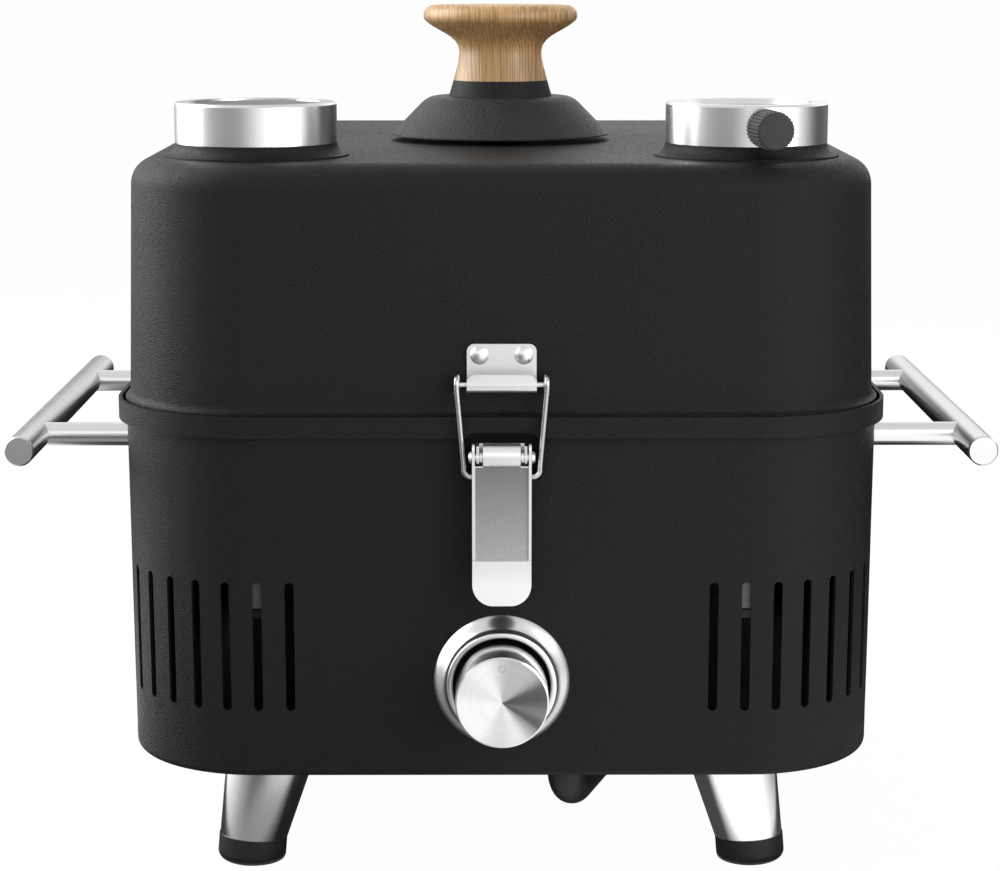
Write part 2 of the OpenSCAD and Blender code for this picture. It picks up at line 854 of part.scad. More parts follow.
module burner() {
    feed_l = -feed_front - ring_r;
    color(steel) placed() difference() {
        union() {
            translate([0, 0, burner_z]) rotate_extrude() translate([ring_r, 0]) circle(tube_r);
            translate([0, feed_front, burner_z]) rotate([-90, 0, 0]) cylinder(h = feed_l, r = feed_r);
            for (i = [0:ring_feet - 1]) rotate([0, 0, 90 + i * 360 / ring_feet])
                translate([ring_r, 0, firebox_z + firebox_t])
                cylinder(h = burner_z - firebox_z - firebox_t, r = ring_foot_r);
        }
        translate([0, feed_front - cut, burner_z]) rotate([-90, 0, 0])
            cylinder(h = feed_l / 2, r = feed_bore_r);
        for (i = [0:port_count - 1]) rotate([0, 0, (i + 0.5) * 360 / port_count])
            translate([ring_r, 0, burner_z + tube_r - port_depth])
            cylinder(h = port_depth + cut, r = port_r);
    }
}

module gas_valve() {
    branch_y = elbow_back - valve_y;
    color(brass) placed() on_wall() translate([0, valve_y, control_z]) rotate([-90, 0, 0]) difference() {
        union() {
            cylinder(h = valve_flange_t, d = valve_flange_d);
            cylinder(h = valve_l, d = valve_d);
            translate([0, 0, branch_y]) rotate([0, 90, 0]) cylinder(h = branch_l, r = branch_r);
        }
        translate([0, 0, -cut]) cylinder(h = stem_end + push_travel + 2 * cut, r = stem_d / 2 + shaft_gap);
        translate([0, 0, valve_l - jet_shank_l]) cylinder(h = jet_shank_l + cut, r = jet_shank_r);
        translate([pipe_x, 0, branch_y]) rotate([0, 90, 0])
            cylinder(h = branch_l - pipe_x + cut, r = pipe_r);
    }
}

module gas_jet() {
    color(brass) placed() on_wall() translate([0, valve_y + valve_l, control_z]) rotate([-90, 0, 0]) {
        cylinder(h = jet_hex_l, r = jet_hex_r, $fn = 6);
        translate([0, 0, -jet_shank_l]) cylinder(h = jet_shank_l, r = jet_shank_r);
        translate([0, 0, jet_hex_l]) cylinder(h = jet_l - jet_hex_l, r1 = jet_tip_r[0], r2 = jet_tip_r[1]);
    }
}

module gas_pipe() {
    color(brass) placed() on_wall() translate([pipe_x, elbow_back, control_z]) rotate([0, 90, 0])
        bar_run(pipe_r, [
            ["line", elbow_x - pipe_x - pipe_bend], ["turn", pipe_bend, 90],
            ["line", control_z - floor_top - pipe_seat - pipe_bend]
        ]);
}

// Top of the elbow's upright limb, at a height
module at_elbow(z) {
    on_wall() translate([elbow_x, elbow_back, z]) children();
}

// Rear end of the elbow's slanted run
module at_elbow_end() {
    at_elbow(floor_z - elbow_bend)
        translate([elbow_reach * sin(elbow_turn), elbow_reach * cos(elbow_turn), 0]) children();
}

module inlet_elbow() {
    color(black_paint) placed() {
        at_elbow(floor_top) difference() {
            translate([0, 0, elbow_upright]) rotate([180, 0, 0]) rotate([0, 0, -90 + elbow_turn])
                bar_run(elbow_d / 2, [
                    ["line", elbow_upright + sheet_t], ["turn", elbow_bend, 90], ["line", elbow_run]
                ]);
            translate([0, 0, pipe_seat]) cylinder(h = elbow_upright, r = pipe_r);
        }
        at_elbow_end() {
            sphere(elbow_d / 2 + knuckle_over);
            rotate([-90, 0, 0]) cylinder(h = elbow_end_l, d = elbow_d);
        }
    }
}

module inlet_fitting() {
    color(brass) placed() at_elbow_end() translate([0, elbow_end_l, 0]) rotate([-90, 0, 0]) {
        cylinder(h = inlet_nut_l, d = elbow_d + inlet_nut_over, $fn = 6);
        translate([0, 0, inlet_nut_l]) cylinder(h = inlet_thread_l, d = inlet_thread_d);
    }
}

module igniter_insulator() {
    l = igniter_out + igniter_in;
    color("white") placed() translate([igniter_x, -firebox_half, igniter_z]) rotate([-90, 0, 0])
        difference() {
            union() {
                translate([0, 0, -igniter_flange])
                    cylinder(h = igniter_flange, r = igniter_r + igniter_flange);
                translate([0, 0, -igniter_out]) cylinder(h = l, r = igniter_r);
            }
            translate([0, 0, -igniter_out - cut]) cylinder(h = l + 2 * cut, r = electrode_r);
        }
}

module igniter_tip() {
    color(steel) placed() translate([igniter_x, -firebox_half, igniter_z]) rotate([-90, 0, 0])
        translate([0, 0, -igniter_out - electrode_end])
        cylinder(h = igniter_out + igniter_in + 2 * electrode_end, r = electrode_r);
}

// Gas knob

module knob_bezel() {
    seat = -base_wall(control_z + bezel_d / 2) + seat_touch;
    foot_at = [bezel_d / 2, bezel_foot];
    mouth_at = [bezel_mouth_d / 2, bezel_h];
    swell = curve_points([
        foot_at, foot_at + [-bezel_swell[0], bezel_swell[1]],
        mouth_at + [bezel_swell[2], -bezel_swell[3]], mouth_at
    ], bezel_steps);
    color(steel) placed() on_wall() translate([0, 0, control_z]) rotate([90, 0, 0]) rotate_extrude()
        polygon(concat(
            [[bezel_bore_d / 2, seat], [bezel_d / 2, seat], foot_at], swell,
            [[bezel_bore_d / 2 + bezel_step, bezel_h], [bezel_bore_d / 2, bezel_h - bezel_step]]
        ));
}

module gas_knob() {
    r = gas_knob_d / 2;
    l = gas_knob_reach - knob_back;
    color(steel) placed() on_wall() translate([0, -knob_back, control_z]) rotate([90, 0, 0]) difference() {
        rotate_extrude() polygon([
            [0, 0], [r - knob_edge, 0], [r, knob_edge], [r, l - knob_edge], [r - knob_edge, l], [0, l]
        ]);
        translate([0, 0, -cut]) cylinder(h = l - knob_cap + cut, r = stem_d / 2);
        translate([0, dot_place, l - dot_depth]) cylinder(h = dot_depth + cut, r = dot_r);
    }
}

module valve_stem() {
    front = gas_knob_reach - knob_cap;
    color(steel) placed() on_wall() translate([0, -front, control_z]) rotate([-90, 0, 0])
        cylinder(h = front + valve_y + stem_end, r = stem_d / 2);
}

module stem_collar() {
    color(steel) placed() on_wall() translate([0, -knob_back + run_gap, control_z]) rotate([-90, 0, 0])
        difference() {
            cylinder(h = collar_t, r = stem_d / 2 + collar_over);
            translate([0, 0, -cut]) cylinder(h = collar_t + 2 * cut, r = stem_d / 2 + shaft_gap);
        }
}

// Grease tray

module grease_tray() {
    face_w = tray_w + 2 * tray_face_over;
    color(dark_steel) placed() {
        difference() {
            translate([-tray_w / 2, half_d - tray_l, tray_z]) cube([tray_w, tray_l, tray_h - run_gap]);
            translate([-tray_w / 2 + tray_t, half_d - tray_l + tray_t, tray_z + tray_t])
                cube([tray_w - 2 * tray_t, tray_l - 2 * tray_t - sheet_t, tray_h]);
        }
        translate([-face_w / 2, half_d, tray_z]) cube([face_w, tray_face_t, tray_h + tray_face_over]);
        translate([-tray_w / 4, half_d + tray_face_t, tray_z + tray_h - tray_grip[1]])
            cube([tray_w / 2, tray_grip[0], tray_grip[1]]);
    }
}

module tray_rails() {
    color(dark_steel) placed() for (x = [-1, 1])
        translate([x * (tray_w / 2 + run_gap + rail_t / 2) - rail_t / 2, half_d - tray_l, floor_top])
        cube([rail_t, tray_l - 3 * sheet_t, rail_h]);
}

// Lid

// Half section of the lid's outside, or of its inside when t is the sheet's thickness
module lid_body_section(t) {
    r = lid_edge_r - t;
    low = lid_wall(lid_z) - t;
    high = lid_wall(lid_shoulder) - t;
    bottom = lid_z - (t > 0 ? cut : 0);
    polygon([
        [-corner_r, bottom], [low, bottom], [low, lid_z], [high, lid_shoulder], [high - r, lid_shoulder + r],
        [-corner_r, lid_shoulder + r]
    ]);
    intersection() {
        translate([high - r, lid_shoulder]) circle(r);
        translate([high - r, lid_shoulder]) square(r);
    }
}

module lid_section() {
    difference() {
        lid_body_section(0);
        lid_body_section(sheet_t);
    }
    inside = lid_wall(lid_z) - sheet_t / 2;
    edge = lid_wall(lid_z) + lid_flare_out;
    flare_top = lid_flare_z + lid_flare_h;
    flare = curve_points([
        [edge, lid_flare_z], [edge - lid_flare_ease[0], lid_flare_z + lid_flare_ease[1]],
        [lid_wall(flare_top), flare_top - lid_flare_ease[2]], [lid_wall(flare_top), flare_top]
    ], lid_flare_steps);
    polygon(concat([[inside, lid_z], [edge, lid_z], [edge, lid_flare_z]], flare, [[inside, flare_top]]));
}

module at_cups() {
    for (x = [-1, 1]) translate([x * cup_x, cup_y, 0]) children();
}

// Flared ring that a cup stands on
module cup_collar() {
    sink = sheet_t / 2;
    rotate_extrude() difference() {
        translate([collar_bore_r, lid_top - sink])
            square([cup_r + collar_flare - collar_bore_r, collar_h + sink]);
        translate([cup_r + collar_flare, cup_z]) circle(collar_flare);
        translate([cup_r + collar_flare - sink, lid_top + sink]) square(collar_h + sink);
    }
}

module lid_shell() {
    color(black_paint) placed() difference() {
        union() {
            sweep_round_body() lid_section();
            middle_plate(lid_top - sheet_t, sheet_t);
            at_cups() cup_collar();
        }
        at_cups() translate([0, 0, lid_top - 2 * sheet_t])
            cylinder(h = collar_h + 3 * sheet_t, r = collar_bore_r);
        translate([0, 0, lid_top - 2 * sheet_t]) cylinder(h = 3 * sheet_t, r = bolt_r + bolt_gap);
        for (rear = [false, true]) on_wall(rear) at_rivets() rotate([-90, 0, 0])
            cylinder(h = 6 * sheet_t, r = rivet_shank_r + bolt_gap);
    }
}

// Thermometer

module cup_ring(bore_r) {
    polygon([
        [bore_r, cup_z], [cup_r, cup_z], [cup_r, cup_top - cup_edge], [cup_r - cup_edge, cup_top],
        [bore_r, cup_top]
    ]);
}

module cup_spigot() {
    translate([spigot_r - spigot_t, cup_z - spigot_l]) square([spigot_t, spigot_l + cut]);
}

module thermometer_cup() {
    color(steel) placed() translate([-cup_x, cup_y, 0]) rotate_extrude() {
        difference() {
            cup_ring(probe_r + bolt_gap);
            translate([0, dial_z]) square([dial_r, cup_h]);
            translate([0, lens_z]) square([lens_r + bolt_gap, cup_h]);
            translate([probe_boss_r, cup_z - cut])
                square([spigot_r - spigot_t - probe_boss_r, dial_z - cup_z - cup_floor_t + cut]);
        }
        cup_spigot();
    }
}

module thermometer_dial() {
    color("white") placed() translate([-cup_x, cup_y, dial_z]) difference() {
        cylinder(h = dial_t, r = dial_r - bolt_gap);
        translate([0, 0, -cut]) cylinder(h = dial_t + 2 * cut, r = spindle_r + bolt_gap);
    }
}

module thermometer_lens() {
    color(glass) placed() translate([-cup_x, cup_y, lens_z]) cylinder(h = lens_t, r = lens_r);
}

module thermometer_probe() {
    color(steel) placed() translate([-cup_x, cup_y, 0]) {
        translate([0, 0, lid_top - probe_l]) cylinder(h = dial_z - lid_top + probe_l, r = probe_r);
        translate([0, 0, dial_z]) cylinder(h = spindle_l, r = spindle_r);
        translate([0, 0, cup_z - probe_nut_h]) cylinder(h = probe_nut_h, r = probe_nut_r, $fn = 6);
    }
}

module thermometer_needle() {
    reach = dial_r - needle_short;
    color("black") placed() translate([-cup_x, cup_y, dial_z + dial_t + run_gap]) difference() {
        union() {
            cylinder(h = needle_hub_h, r = needle_hub_r);
            linear_extrude(needle_t) polygon([
                [-needle_w[0], -needle_tail], [needle_w[0], -needle_tail],
                [needle_w[1], reach], [-needle_w[1], reach]
            ]);
        }
        translate([0, 0, -cut]) cylinder(h = needle_hub_h + 2 * cut, r = spindle_r + shaft_gap);
    }
}

// Vent and damper

module at_damper() {
    translate([cup_x, cup_y, damper_z]) rotate([0, 0, damper_angle]) children();
}

module vent_cup() {
    dish_z = damper_z + shaft_r + dish_cover;
    hollow_h = damper_z - cup_z - shaft_r - cup_floor_t;
    color(steel) placed() difference() {
        translate([cup_x, cup_y, 0]) rotate_extrude() {
            difference() {
                cup_ring(throat_r);
                polygon([
                    [0, dish_z], [throat_r, dish_z], [mouth_r - dish_lip[0], cup_top - dish_lip[1]],
                    [mouth_r, cup_top + eps], [0, cup_top + eps]
                ]);
                translate([throat_r + spigot_t, cup_z - cut])
                    square([spigot_r - throat_r - 2 * spigot_t, hollow_h + cut]);
            }
            cup_spigot();
        }
        at_damper() rotate([90, 0, 0]) translate([0, 0, -throat_r - shaft_tail - cut])
            cylinder(h = throat_r + shaft_tail + cup_r + 2 * cut, r = shaft_r + shaft_gap);
    }
}

module damper_flap() {
    r = sqrt(pow(throat_r - run_gap, 2) - pow(shaft_r + flap_t, 2));
    color(steel) placed() at_damper() translate([0, 0, shaft_r - shaft_flat]) cylinder(h = flap_t, r = r);
}

module damper_shaft() {
    flat = throat_r - run_gap / 2;
    tail = throat_r + shaft_tail;
    color(steel) placed() at_damper() difference() {
        rotate([90, 0, 0]) translate([0, 0, -tail])
            cylinder(h = tail + cup_r + damper_gap + damper_knob_l - damper_cap, r = shaft_r);
        translate([-shaft_r - cut, -flat, shaft_r - shaft_flat])
            cube([2 * shaft_r + 2 * cut, 2 * flat, shaft_r]);
    }
}

module damper_knob() {
    r = damper_knob_d / 2;
    long = damper_knob_l - damper_edge;
    color(black_paint) placed() at_damper() translate([0, -cup_r - damper_gap, 0]) rotate([90, 0, 0])
        difference() {
            rotate_extrude() {
                square([r, long]);
                square([r - damper_edge, damper_knob_l]);
                intersection() {
                    translate([r - damper_edge, long]) circle(damper_edge);
                    translate([0, long]) square([r, damper_edge]);
                }
            }
            translate([0, 0, -cut]) cylinder(h = damper_knob_l - damper_cap + cut, r = shaft_r);
            for (i = [0:damper_grooves - 1]) rotate([0, 0, i * 360 / damper_grooves])
                translate([r + groove_r - groove_sink, 0, -cut])
                cylinder(h = damper_knob_l + 2 * cut, r = groove_r, $fn = 16);
        }
}

// Lid knob

module knob_skirt() {
    r = skirt_d / 2;
    top = skirt_z + skirt_h;
    shoulder_at = [skirt_shoulder[0], top - skirt_shoulder[1]];
    crown_at = [skirt_crown_r, top];
    shoulder = curve_points([
        shoulder_at, shoulder_at + [-skirt_ease[0], skirt_ease[1]], crown_at + [skirt_ease[2], 0], crown_at
    ], skirt_steps);
    color(black_paint) placed() rotate_extrude() difference() {
        union() {
            polygon(concat(
                [[0, top - skirt_under], [skirt_crown_r - skirt_t, top - skirt_under]],
                [[r - 2 * skirt_t, skirt_z], [r, skirt_z], [r, skirt_z + skirt_lip], shoulder_at], shoulder,
                [[0, top]]
            ));
            translate([0, lid_top]) square([skirt_boss_r, skirt_gap + skirt_h]);
        }
        translate([0, lid_top - cut]) square([bolt_r + bolt_gap, skirt_gap + skirt_h + 2 * cut]);
    }
}

module knob_collar() {
    color(rubber) placed() rotate_extrude() polygon([
        [bolt_r + bolt_gap, knob_collar_z], [knob_foot_d / 2, knob_collar_z], [grip_foot_d / 2, grip_z],
        [bolt_r + bolt_gap, grip_z]
    ]);
}

module lid_knob() {
    foot = grip_foot_d / 2;
    waist = grip_waist_d / 2;
    rim = grip_rim_d / 2;
    rim_low = grip_h - grip_rim_h;
    waist_at = [waist, grip_waist_h];
    rim_at = [rim - grip_edge[0], rim_low + grip_edge[1]];
    flank = curve_points([
        [foot, 0], [foot - grip_flank[0], grip_flank[1]], [waist, grip_waist_h - grip_hollow], waist_at
    ], grip_steps);
    flare = curve_points([
        waist_at, waist_at + [0, grip_flare[0]], [rim - grip_flare[0], rim_low - grip_flare[1]], rim_at
    ], grip_steps);
    edge = curve_points([
        rim_at, [rim + grip_bulge[0], rim_low + grip_bulge[1]], [rim + grip_bulge[2], grip_h],
        [rim - grip_top, grip_h]
    ], grip_steps);
    color(wood) placed() translate([0, 0, grip_z]) difference() {
        rotate_extrude() polygon(concat([[0, 0], [foot, 0]], flank, flare, edge, [[0, grip_h - grip_dip]]));
        translate([0, 0, -cut]) cylinder(h = grip_bore + cut, r = bolt_r);
    }
}

module knob_bolt() {
    under = lid_top - sheet_t;
    color(dark_steel) placed() {
        translate([0, 0, under - bolt_head_h]) cylinder(h = bolt_head_h, r = bolt_head_r, $fn = 6);
        translate([0, 0, under]) cylinder(h = grip_z + knob_bolt_l - under, r = bolt_r);
    }
}

// Latches

module at_rivets() {
    for (x = [-1, 1]) translate([x * rivet_x, strike_back - strike_t, rivet_z]) children();
}

module strike(rear) {
    plate_h = strike_top - strike_low;
    corner_x = strike_w / 2 - strike_corner;
    lip_low = eye_z - lip_drop;
    lip_h = lip_rise + lip_drop;
    color(steel) placed() on_wall(rear) difference() {
        union() {
            front_plate(strike_back - strike_t, strike_t) {
                translate([-strike_w / 2, strike_low]) square([strike_w, plate_h - strike_corner]);
                translate([-corner_x, strike_low]) square([2 * corner_x, plate_h]);
                for (x = [-1, 1]) translate([x * corner_x, strike_top - strike_corner])
                    circle(strike_corner);
            }
            translate([0, eye_y, eye_z]) cross_bar(strike_w, strike_roll_r);
            translate([-strike_w / 2, eye_y, strike_low]) cube([strike_w, strike_back - eye_y, strike_fold]);
            front_plate(eye_y - strike_roll_r + bolt_gap, lip_t) {
                translate([-strike_w / 2, lip_low]) square([strike_w, lip_h - lip_r]);
                translate([-strike_w / 2 + lip_r, lip_low]) square([strike_w - 2 * lip_r, lip_h]);
                intersection() {
                    translate([-strike_w / 2, lip_low]) square([strike_w, lip_h]);
                    for (x = [-1, 1]) translate([x * (strike_w / 2 - lip_r), lip_low + lip_h - lip_r])
                        circle(lip_r);
                }
            }
        }
        translate([0, eye_y, eye_z]) cross_bar(strike_w + 2 * cut, pivot_r);
        at_rivets() rotate([-90, 0, 0]) translate([0, 0, -cut])
            cylinder(h = strike_t + 2 * cut, r = rivet_shank_r);
    }
}

module strike_rivets() {
    ball = (rivet_head_r * rivet_head_r + rivet_dome * rivet_dome) / (2 * rivet_dome);
    color(steel) placed() for (rear = [false, true]) on_wall(rear) at_rivets() rotate([-90, 0, 0]) {
        intersection() {
            translate([0, 0, ball - rivet_dome]) sphere(r = ball);
            translate([0, 0, -rivet_dome]) cylinder(h = rivet_dome, r = rivet_head_r);
        }
        cylinder(h = strike_t + 2 * sheet_t, r = rivet_shank_r);
    }
}

module bail_pins() {
    color(steel) placed() for (rear = [false, true]) on_wall(rear) translate([0, eye_y, eye_z]) {
        cross_bar(strike_w, pivot_r);
        cross_bar(bail_w, pin_neck_r);
        for (x = [-1, 1]) translate([x * bail_w / 2, 0, 0]) cross_bar(wire_d, eye_r - wire_r - shaft_gap);
    }
}

// Wire bail: an open eye round the pin, a leg that slopes inwards and a lower end beside the lever
module bail(rear) {
    low_x = lever_w / 2 + run_gap + bail_stub + bail_bend_r;
    leg_top = eye_z - bail_end + bail_lap;
    leg_low = bar_z + bail_bend_r + bail_end - bail_lap;
    slope = atan((bail_w / 2 - low_x) / (leg_top - leg_low));
    color(steel) placed() on_wall(rear) for (x = [-1, 1]) {
        translate([x * bail_w / 2, eye_y, eye_z - eye_r]) rotate([-90, 0, 0]) rotate([0, 0, -90])
            bar_run(wire_r, [["turn", eye_r, eye_turn], ["line", bail_end]], $fn = 32);
        translate([x * low_x, bail_y, leg_low]) rotate([0, x * slope, 0])
            cylinder(h = (leg_top - leg_low) / cos(slope), r = wire_r - bail_lap_step);
        translate([x * low_x, bail_y, bar_z + bail_bend_r + bail_end]) rotate([180, 0, 0])
            rotate([0, 0, x > 0 ? 180 : 0])
            bar_run(wire_r, [["line", bail_end], ["turn", bail_bend_r, 90], ["line", bail_stub]], $fn = 32);
    }
}

module latch_pad(rear) {
    color(rubber) placed() on_wall(rear) front_plate(-pad_t, pad_t) pad_outline(0);
}

module latch_bracket(rear) {
    low = pivot_z - bracket_low;
    top = pivot_z + bracket_rise;
    plate_front = -pad_t - bracket_t;
    half = cheek_x + cheek_t;
    color(steel) placed() on_wall(rear) difference() {
        union() {
            translate([-half, plate_front, low]) cube([2 * half, bracket_t, top - low]);
            for (x = [-1, 1]) translate([x * (cheek_x + cheek_t / 2), 0, 0]) side_plate(cheek_t) {
                polygon([
                    [plate_front, low], [plate_front, top], [pivot_y, top],
                    [pivot_y - cheek_nose[0], pivot_z + cheek_nose[1]], [pivot_y, pivot_z - cheek_r]
                ]);
                translate([pivot_y, pivot_z]) circle(cheek_r);
            }
        }
        translate([0, pivot_y, pivot_z]) cross_bar(lever_w, pivot_r);
    }
}

// Pins of the levers, with a bush beside each cheek and riveted ends
module latch_pins() {
    half = lever_w / 2 + run_gap;
    color(steel) placed() for (rear = [false, true]) on_wall(rear) translate([0, pivot_y, pivot_z]) {
        cross_bar(2 * half, pivot_r);
        for (x = [-1, 1]) rotate([0, x * 90, 0]) {
            translate([0, 0, half]) cylinder(h = rivet_h, r1 = rivet_r, r2 = rivet_crown_r);
            translate([0, 0, bush_x]) cylinder(h = bush_t, r = bush_r);
        }
    }
}

module lever_outline() {
    w = lever_w / 2;
    low = lever_low + lever_corner_r;
    translate([-w, low]) square([lever_w, lever_top - low]);
    translate([-w + lever_corner_r, lever_low]) square([lever_w - 2 * lever_corner_r, lever_corner_r]);
    for (x = [-1, 1]) translate([x * (w - lever_corner_r), low]) circle(lever_corner_r);
}

module latch_lever(rear) {
    tab_top = lever_low + tab_h;
    web_back = web_front + web_t;
    rail_back = bail_y - wire_r;
    rail_front = web_front - ear_t;
    color(steel) placed() on_wall(rear) difference() {
        union() {
            intersection() {
                front_plate(-lever_reach - cut, lever_reach) lever_outline();
                side_plate(lever_w + 2 * cut) polygon([
                    [web_front, lever_top], [web_front, tab_top], [web_front - tab_out, lever_low],
                    [web_front - tab_out + web_t, lever_low - cut],
                    [web_back, tab_top], [web_back, lever_top]
                ]);
            }
            translate([0, web_front + web_t, lever_top - web_t]) cross_bar(2 * ear_x + eps, web_t);
            for (x = [-1, 1]) translate([x * (ear_x + ear_t / 2), 0, 0]) side_plate(ear_t) {
                polygon([
                    [rail_front, lever_top], [rail_front, tab_top + rail_ease[0]], [web_back, tab_top],
                    [rail_back - rail_ease[1], tab_top + 2 * rail_ease[0]],
                    [rail_back, bar_z - rail_ease[2]], [rail_back, lever_top],
                    [pivot_y + ear_r, pivot_z + ear_rise], [pivot_y - ear_r, pivot_z + ear_rise]
                ]);
                translate([pivot_y, pivot_z + ear_rise]) circle(ear_r);
            }
            translate([-roll_w / 2, web_front, lever_top - eps]) cube([roll_w, web_t, lever_drop]);
            translate([0, pivot_y + roll_back, pivot_z + roll_up]) cross_bar(roll_w, roll_r);
        }
        translate([0, pivot_y, pivot_z]) cross_bar(lever_w + 2 * cut, pivot_r + shaft_gap);
    }
}

base_shell();
firebox();
firebox_brackets();
case_screws();
burner();
gas_jet();
gas_valve();
gas_pipe();
inlet_elbow();
inlet_fitting();
knob_bezel();
igniter_insulator();
igniter_tip();
cooking_grate();
leg(-1, -1);  // leg_front_left
leg(1, -1);  // leg_front_right
leg(-1, 1);  // leg_rear_left
leg(1, 1);  // leg_rear_right
foot(-1, -1);  // foot_front_left
foot(1, -1);  // foot_front_right
foot(-1, 1);  // foot_rear_left
foot(1, 1);  // foot_rear_right
leg_bolts();
handle_bar(-1);  // handle_bar_left
handle_bar(1);  // handle_bar_right
handle_posts(-1);  // handle_posts_left
handle_posts(1);  // handle_posts_right
latch_pad(false);  // latch_pad_front
latch_pad(true);  // latch_pad_rear
latch_bracket(false);  // latch_bracket_front
latch_bracket(true);  // latch_bracket_rear
latch_pins();
latch_lever(false);  // latch_lever_front
latch_lever(true);  // latch_lever_rear
gas_knob();
valve_stem();
stem_collar();
grease_tray();
tray_rails();
lid_shell();
thermometer_cup();
thermometer_dial();
thermometer_lens();
thermometer_probe();
thermometer_needle();
vent_cup();
damper_flap();
damper_shaft();
damper_knob();
knob_skirt();
knob_collar();
lid_knob();
knob_bolt();
strike(false);  // strike_front
strike(true);  // strike_rear
strike_rivets();
bail_pins();
bail(false);  // bail_front
bail(true);  // bail_rear
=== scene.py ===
import json
import math

import bmesh
import bpy
from bpy.props import FloatProperty, FloatVectorProperty, IntProperty, PointerProperty
from mathutils import Matrix, Vector


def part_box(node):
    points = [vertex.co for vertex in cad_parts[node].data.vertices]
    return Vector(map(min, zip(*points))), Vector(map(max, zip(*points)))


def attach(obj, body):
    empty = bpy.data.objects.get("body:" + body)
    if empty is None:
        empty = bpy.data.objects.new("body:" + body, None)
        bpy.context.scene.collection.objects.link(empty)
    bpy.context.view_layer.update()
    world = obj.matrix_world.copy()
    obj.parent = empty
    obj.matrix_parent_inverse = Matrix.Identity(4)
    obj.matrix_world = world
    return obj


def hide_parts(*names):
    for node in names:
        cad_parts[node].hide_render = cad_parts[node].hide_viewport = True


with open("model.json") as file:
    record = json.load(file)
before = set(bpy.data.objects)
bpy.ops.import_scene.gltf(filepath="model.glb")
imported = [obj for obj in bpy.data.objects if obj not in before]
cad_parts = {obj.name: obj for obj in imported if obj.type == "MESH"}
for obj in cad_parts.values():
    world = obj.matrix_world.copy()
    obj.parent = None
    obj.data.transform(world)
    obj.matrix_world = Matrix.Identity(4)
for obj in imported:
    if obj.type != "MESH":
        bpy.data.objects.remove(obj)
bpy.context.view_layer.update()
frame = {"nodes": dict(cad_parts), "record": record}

bl_info = {
    "name": "Portable gas grill",
    "version": (1, 0, 0),
    "blender": (4, 5, 0),
    "location": "View3D > Sidebar > Grill",
    "description": "Dresses the solids of a portable gas grill with finishes and fine pieces",
    "category": "Object",
}

RECORD = frame["record"]
NODE_BODY = {name: body for body, names in RECORD["behaviour"]["bodies"].items() for name in names}
# Brightness of the studio wall against the angle from the front, right side positive
WALL_LEVELS = (
    (-179, 0.35), (-168, 0.16), (-140, 0.35), (-118, 1.0), (-95, 1.0), (-77, 0.58), (-56, 0.3), (-35, 0.22),
    (-18, 0.26), (-2, 0.62), (12, 1.0), (62, 1.0), (77, 0.66), (87, 0.4), (98, 0.14), (110, 0.06), (130, 0.1),
    (148, 0.75), (179, 0.62),
)
# Size of the studio wall, and its strength where the level is 1
BOWL_SIDES, BOWL_RADIUS, BOWL_LOW, BOWL_HIGH = 72, 3.0, 0.002, 2.4
BOWL_STRENGTH = 1.5
# Fades of the wall and its floor, from the first figure to the second, in metres, and in radians for turns
FLOOR_HEIGHT = (0.004, 0.02)
# The floor under the object fades into painted shadow.
UNDER_ASIDE, UNDER_AHEAD = (0.29, 0.31), (0.15, 0.19)
BEHIND_NEAR, BEHIND_FAR = (-0.4, -0.3), (-2.0, -1.4)
CARD_LEFT, CARD_RIGHT, CARD_NEAR, CARD_FAR = (-0.66, -0.58), (-0.12, -0.06), (0.44, 0.52), (0.95, 1.1)
LIFT_TURN, LIFT_FRONT, LIFT_SIDES = (1.0, 1.5), (0.5, 1.0), (0.9, 1.3)
LOW_REAR_TURN, LOW_REAR_HEIGHT = (2.2, 2.45), (0.3, 0.5)
# How dark the floor, its card and the low rear wall get
FLOOR_SHADE, CARD_SHADE, LOW_REAR_SHADE = 0.95, 0.75, 0.85
# Name, place, aim, size and power of each lamp, and whether mirrors show it
LAMPS = (
    ("Key_left", (-1.7, 0.35, 1.1), (0, 0, 0.25), (1.8, 2.0), 80.0, True),
    ("Front_low", (-0.7, -2.0, 0.2), (0, 0, 0.4), (1.2, 0.8), 20.0, False),
    ("Fill_right", (1.4, -1.5, 0.9), (0, 0, 0.25), (1.3, 1.5), 32.0, True),
    ("Top", (-0.2, 0.3, 1.9), (0, 0, 0.3), (1.8, 1.8), 24.0, False),
    ("Rim_right", (0.9, 1.5, 0.9), (0, 0, 0.3), (0.6, 1.3), 14.0, False),
)
# Share of the ground's look that is plain white. The rest shows the shadow.
GROUND_GLOW = 0.975
# Strength of the world as a light
WORLD_LIGHT = 0.35
WHITE = (1, 1, 1, 1)
BRASS = (0.72, 0.5, 0.2)
IRON_DARK, IRON_LIGHT = (0.012, 0.012, 0.012), (0.03, 0.029, 0.028)
GLASS_TINT = (0.97, 0.985, 0.98)
# Share of light that the coating mirrors
COAT_SHINE = 0.112
# Chatter of the lathe on the gas knob: blades round the face, phase, slope
FAN_WAVES = ((3.0, 0.6, 0.022), (5.0, 2.1, 0.016))
# Outline of the bezel in millimetres, inwards from its rim: forwards from its foot, then back from its mouth
BEZEL_FLANK = (
    (10.5, 0.0), (0.0, 0.0), (0.0, 0.8), (0.3, 1.3), (2.3, 3.1), (4.4, 5.0), (6.2, 6.6), (6.7, 7.4))
BEZEL_MOUTH = ((6.95, 1.4), (7.3, 0.6), (7.8, 0.15), (8.4, 0.0), (9.6, 0.0), (10.5, 0.9))
MM = 0.001
# Edges sharper than this stay crisp
CRISP = math.radians(32)
UP, AHEAD = (0, 0, 1), (0, -1, 0)


def box_middle(name):
    """Middle of a solid's box at rest."""
    low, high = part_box(name)
    return (low + high) / 2


# Face of the base's front wall, from the middle of the base
WALL_FRONT = box_middle("base_shell").y - 209.5 * MM


# Sizes and colours that a user would change

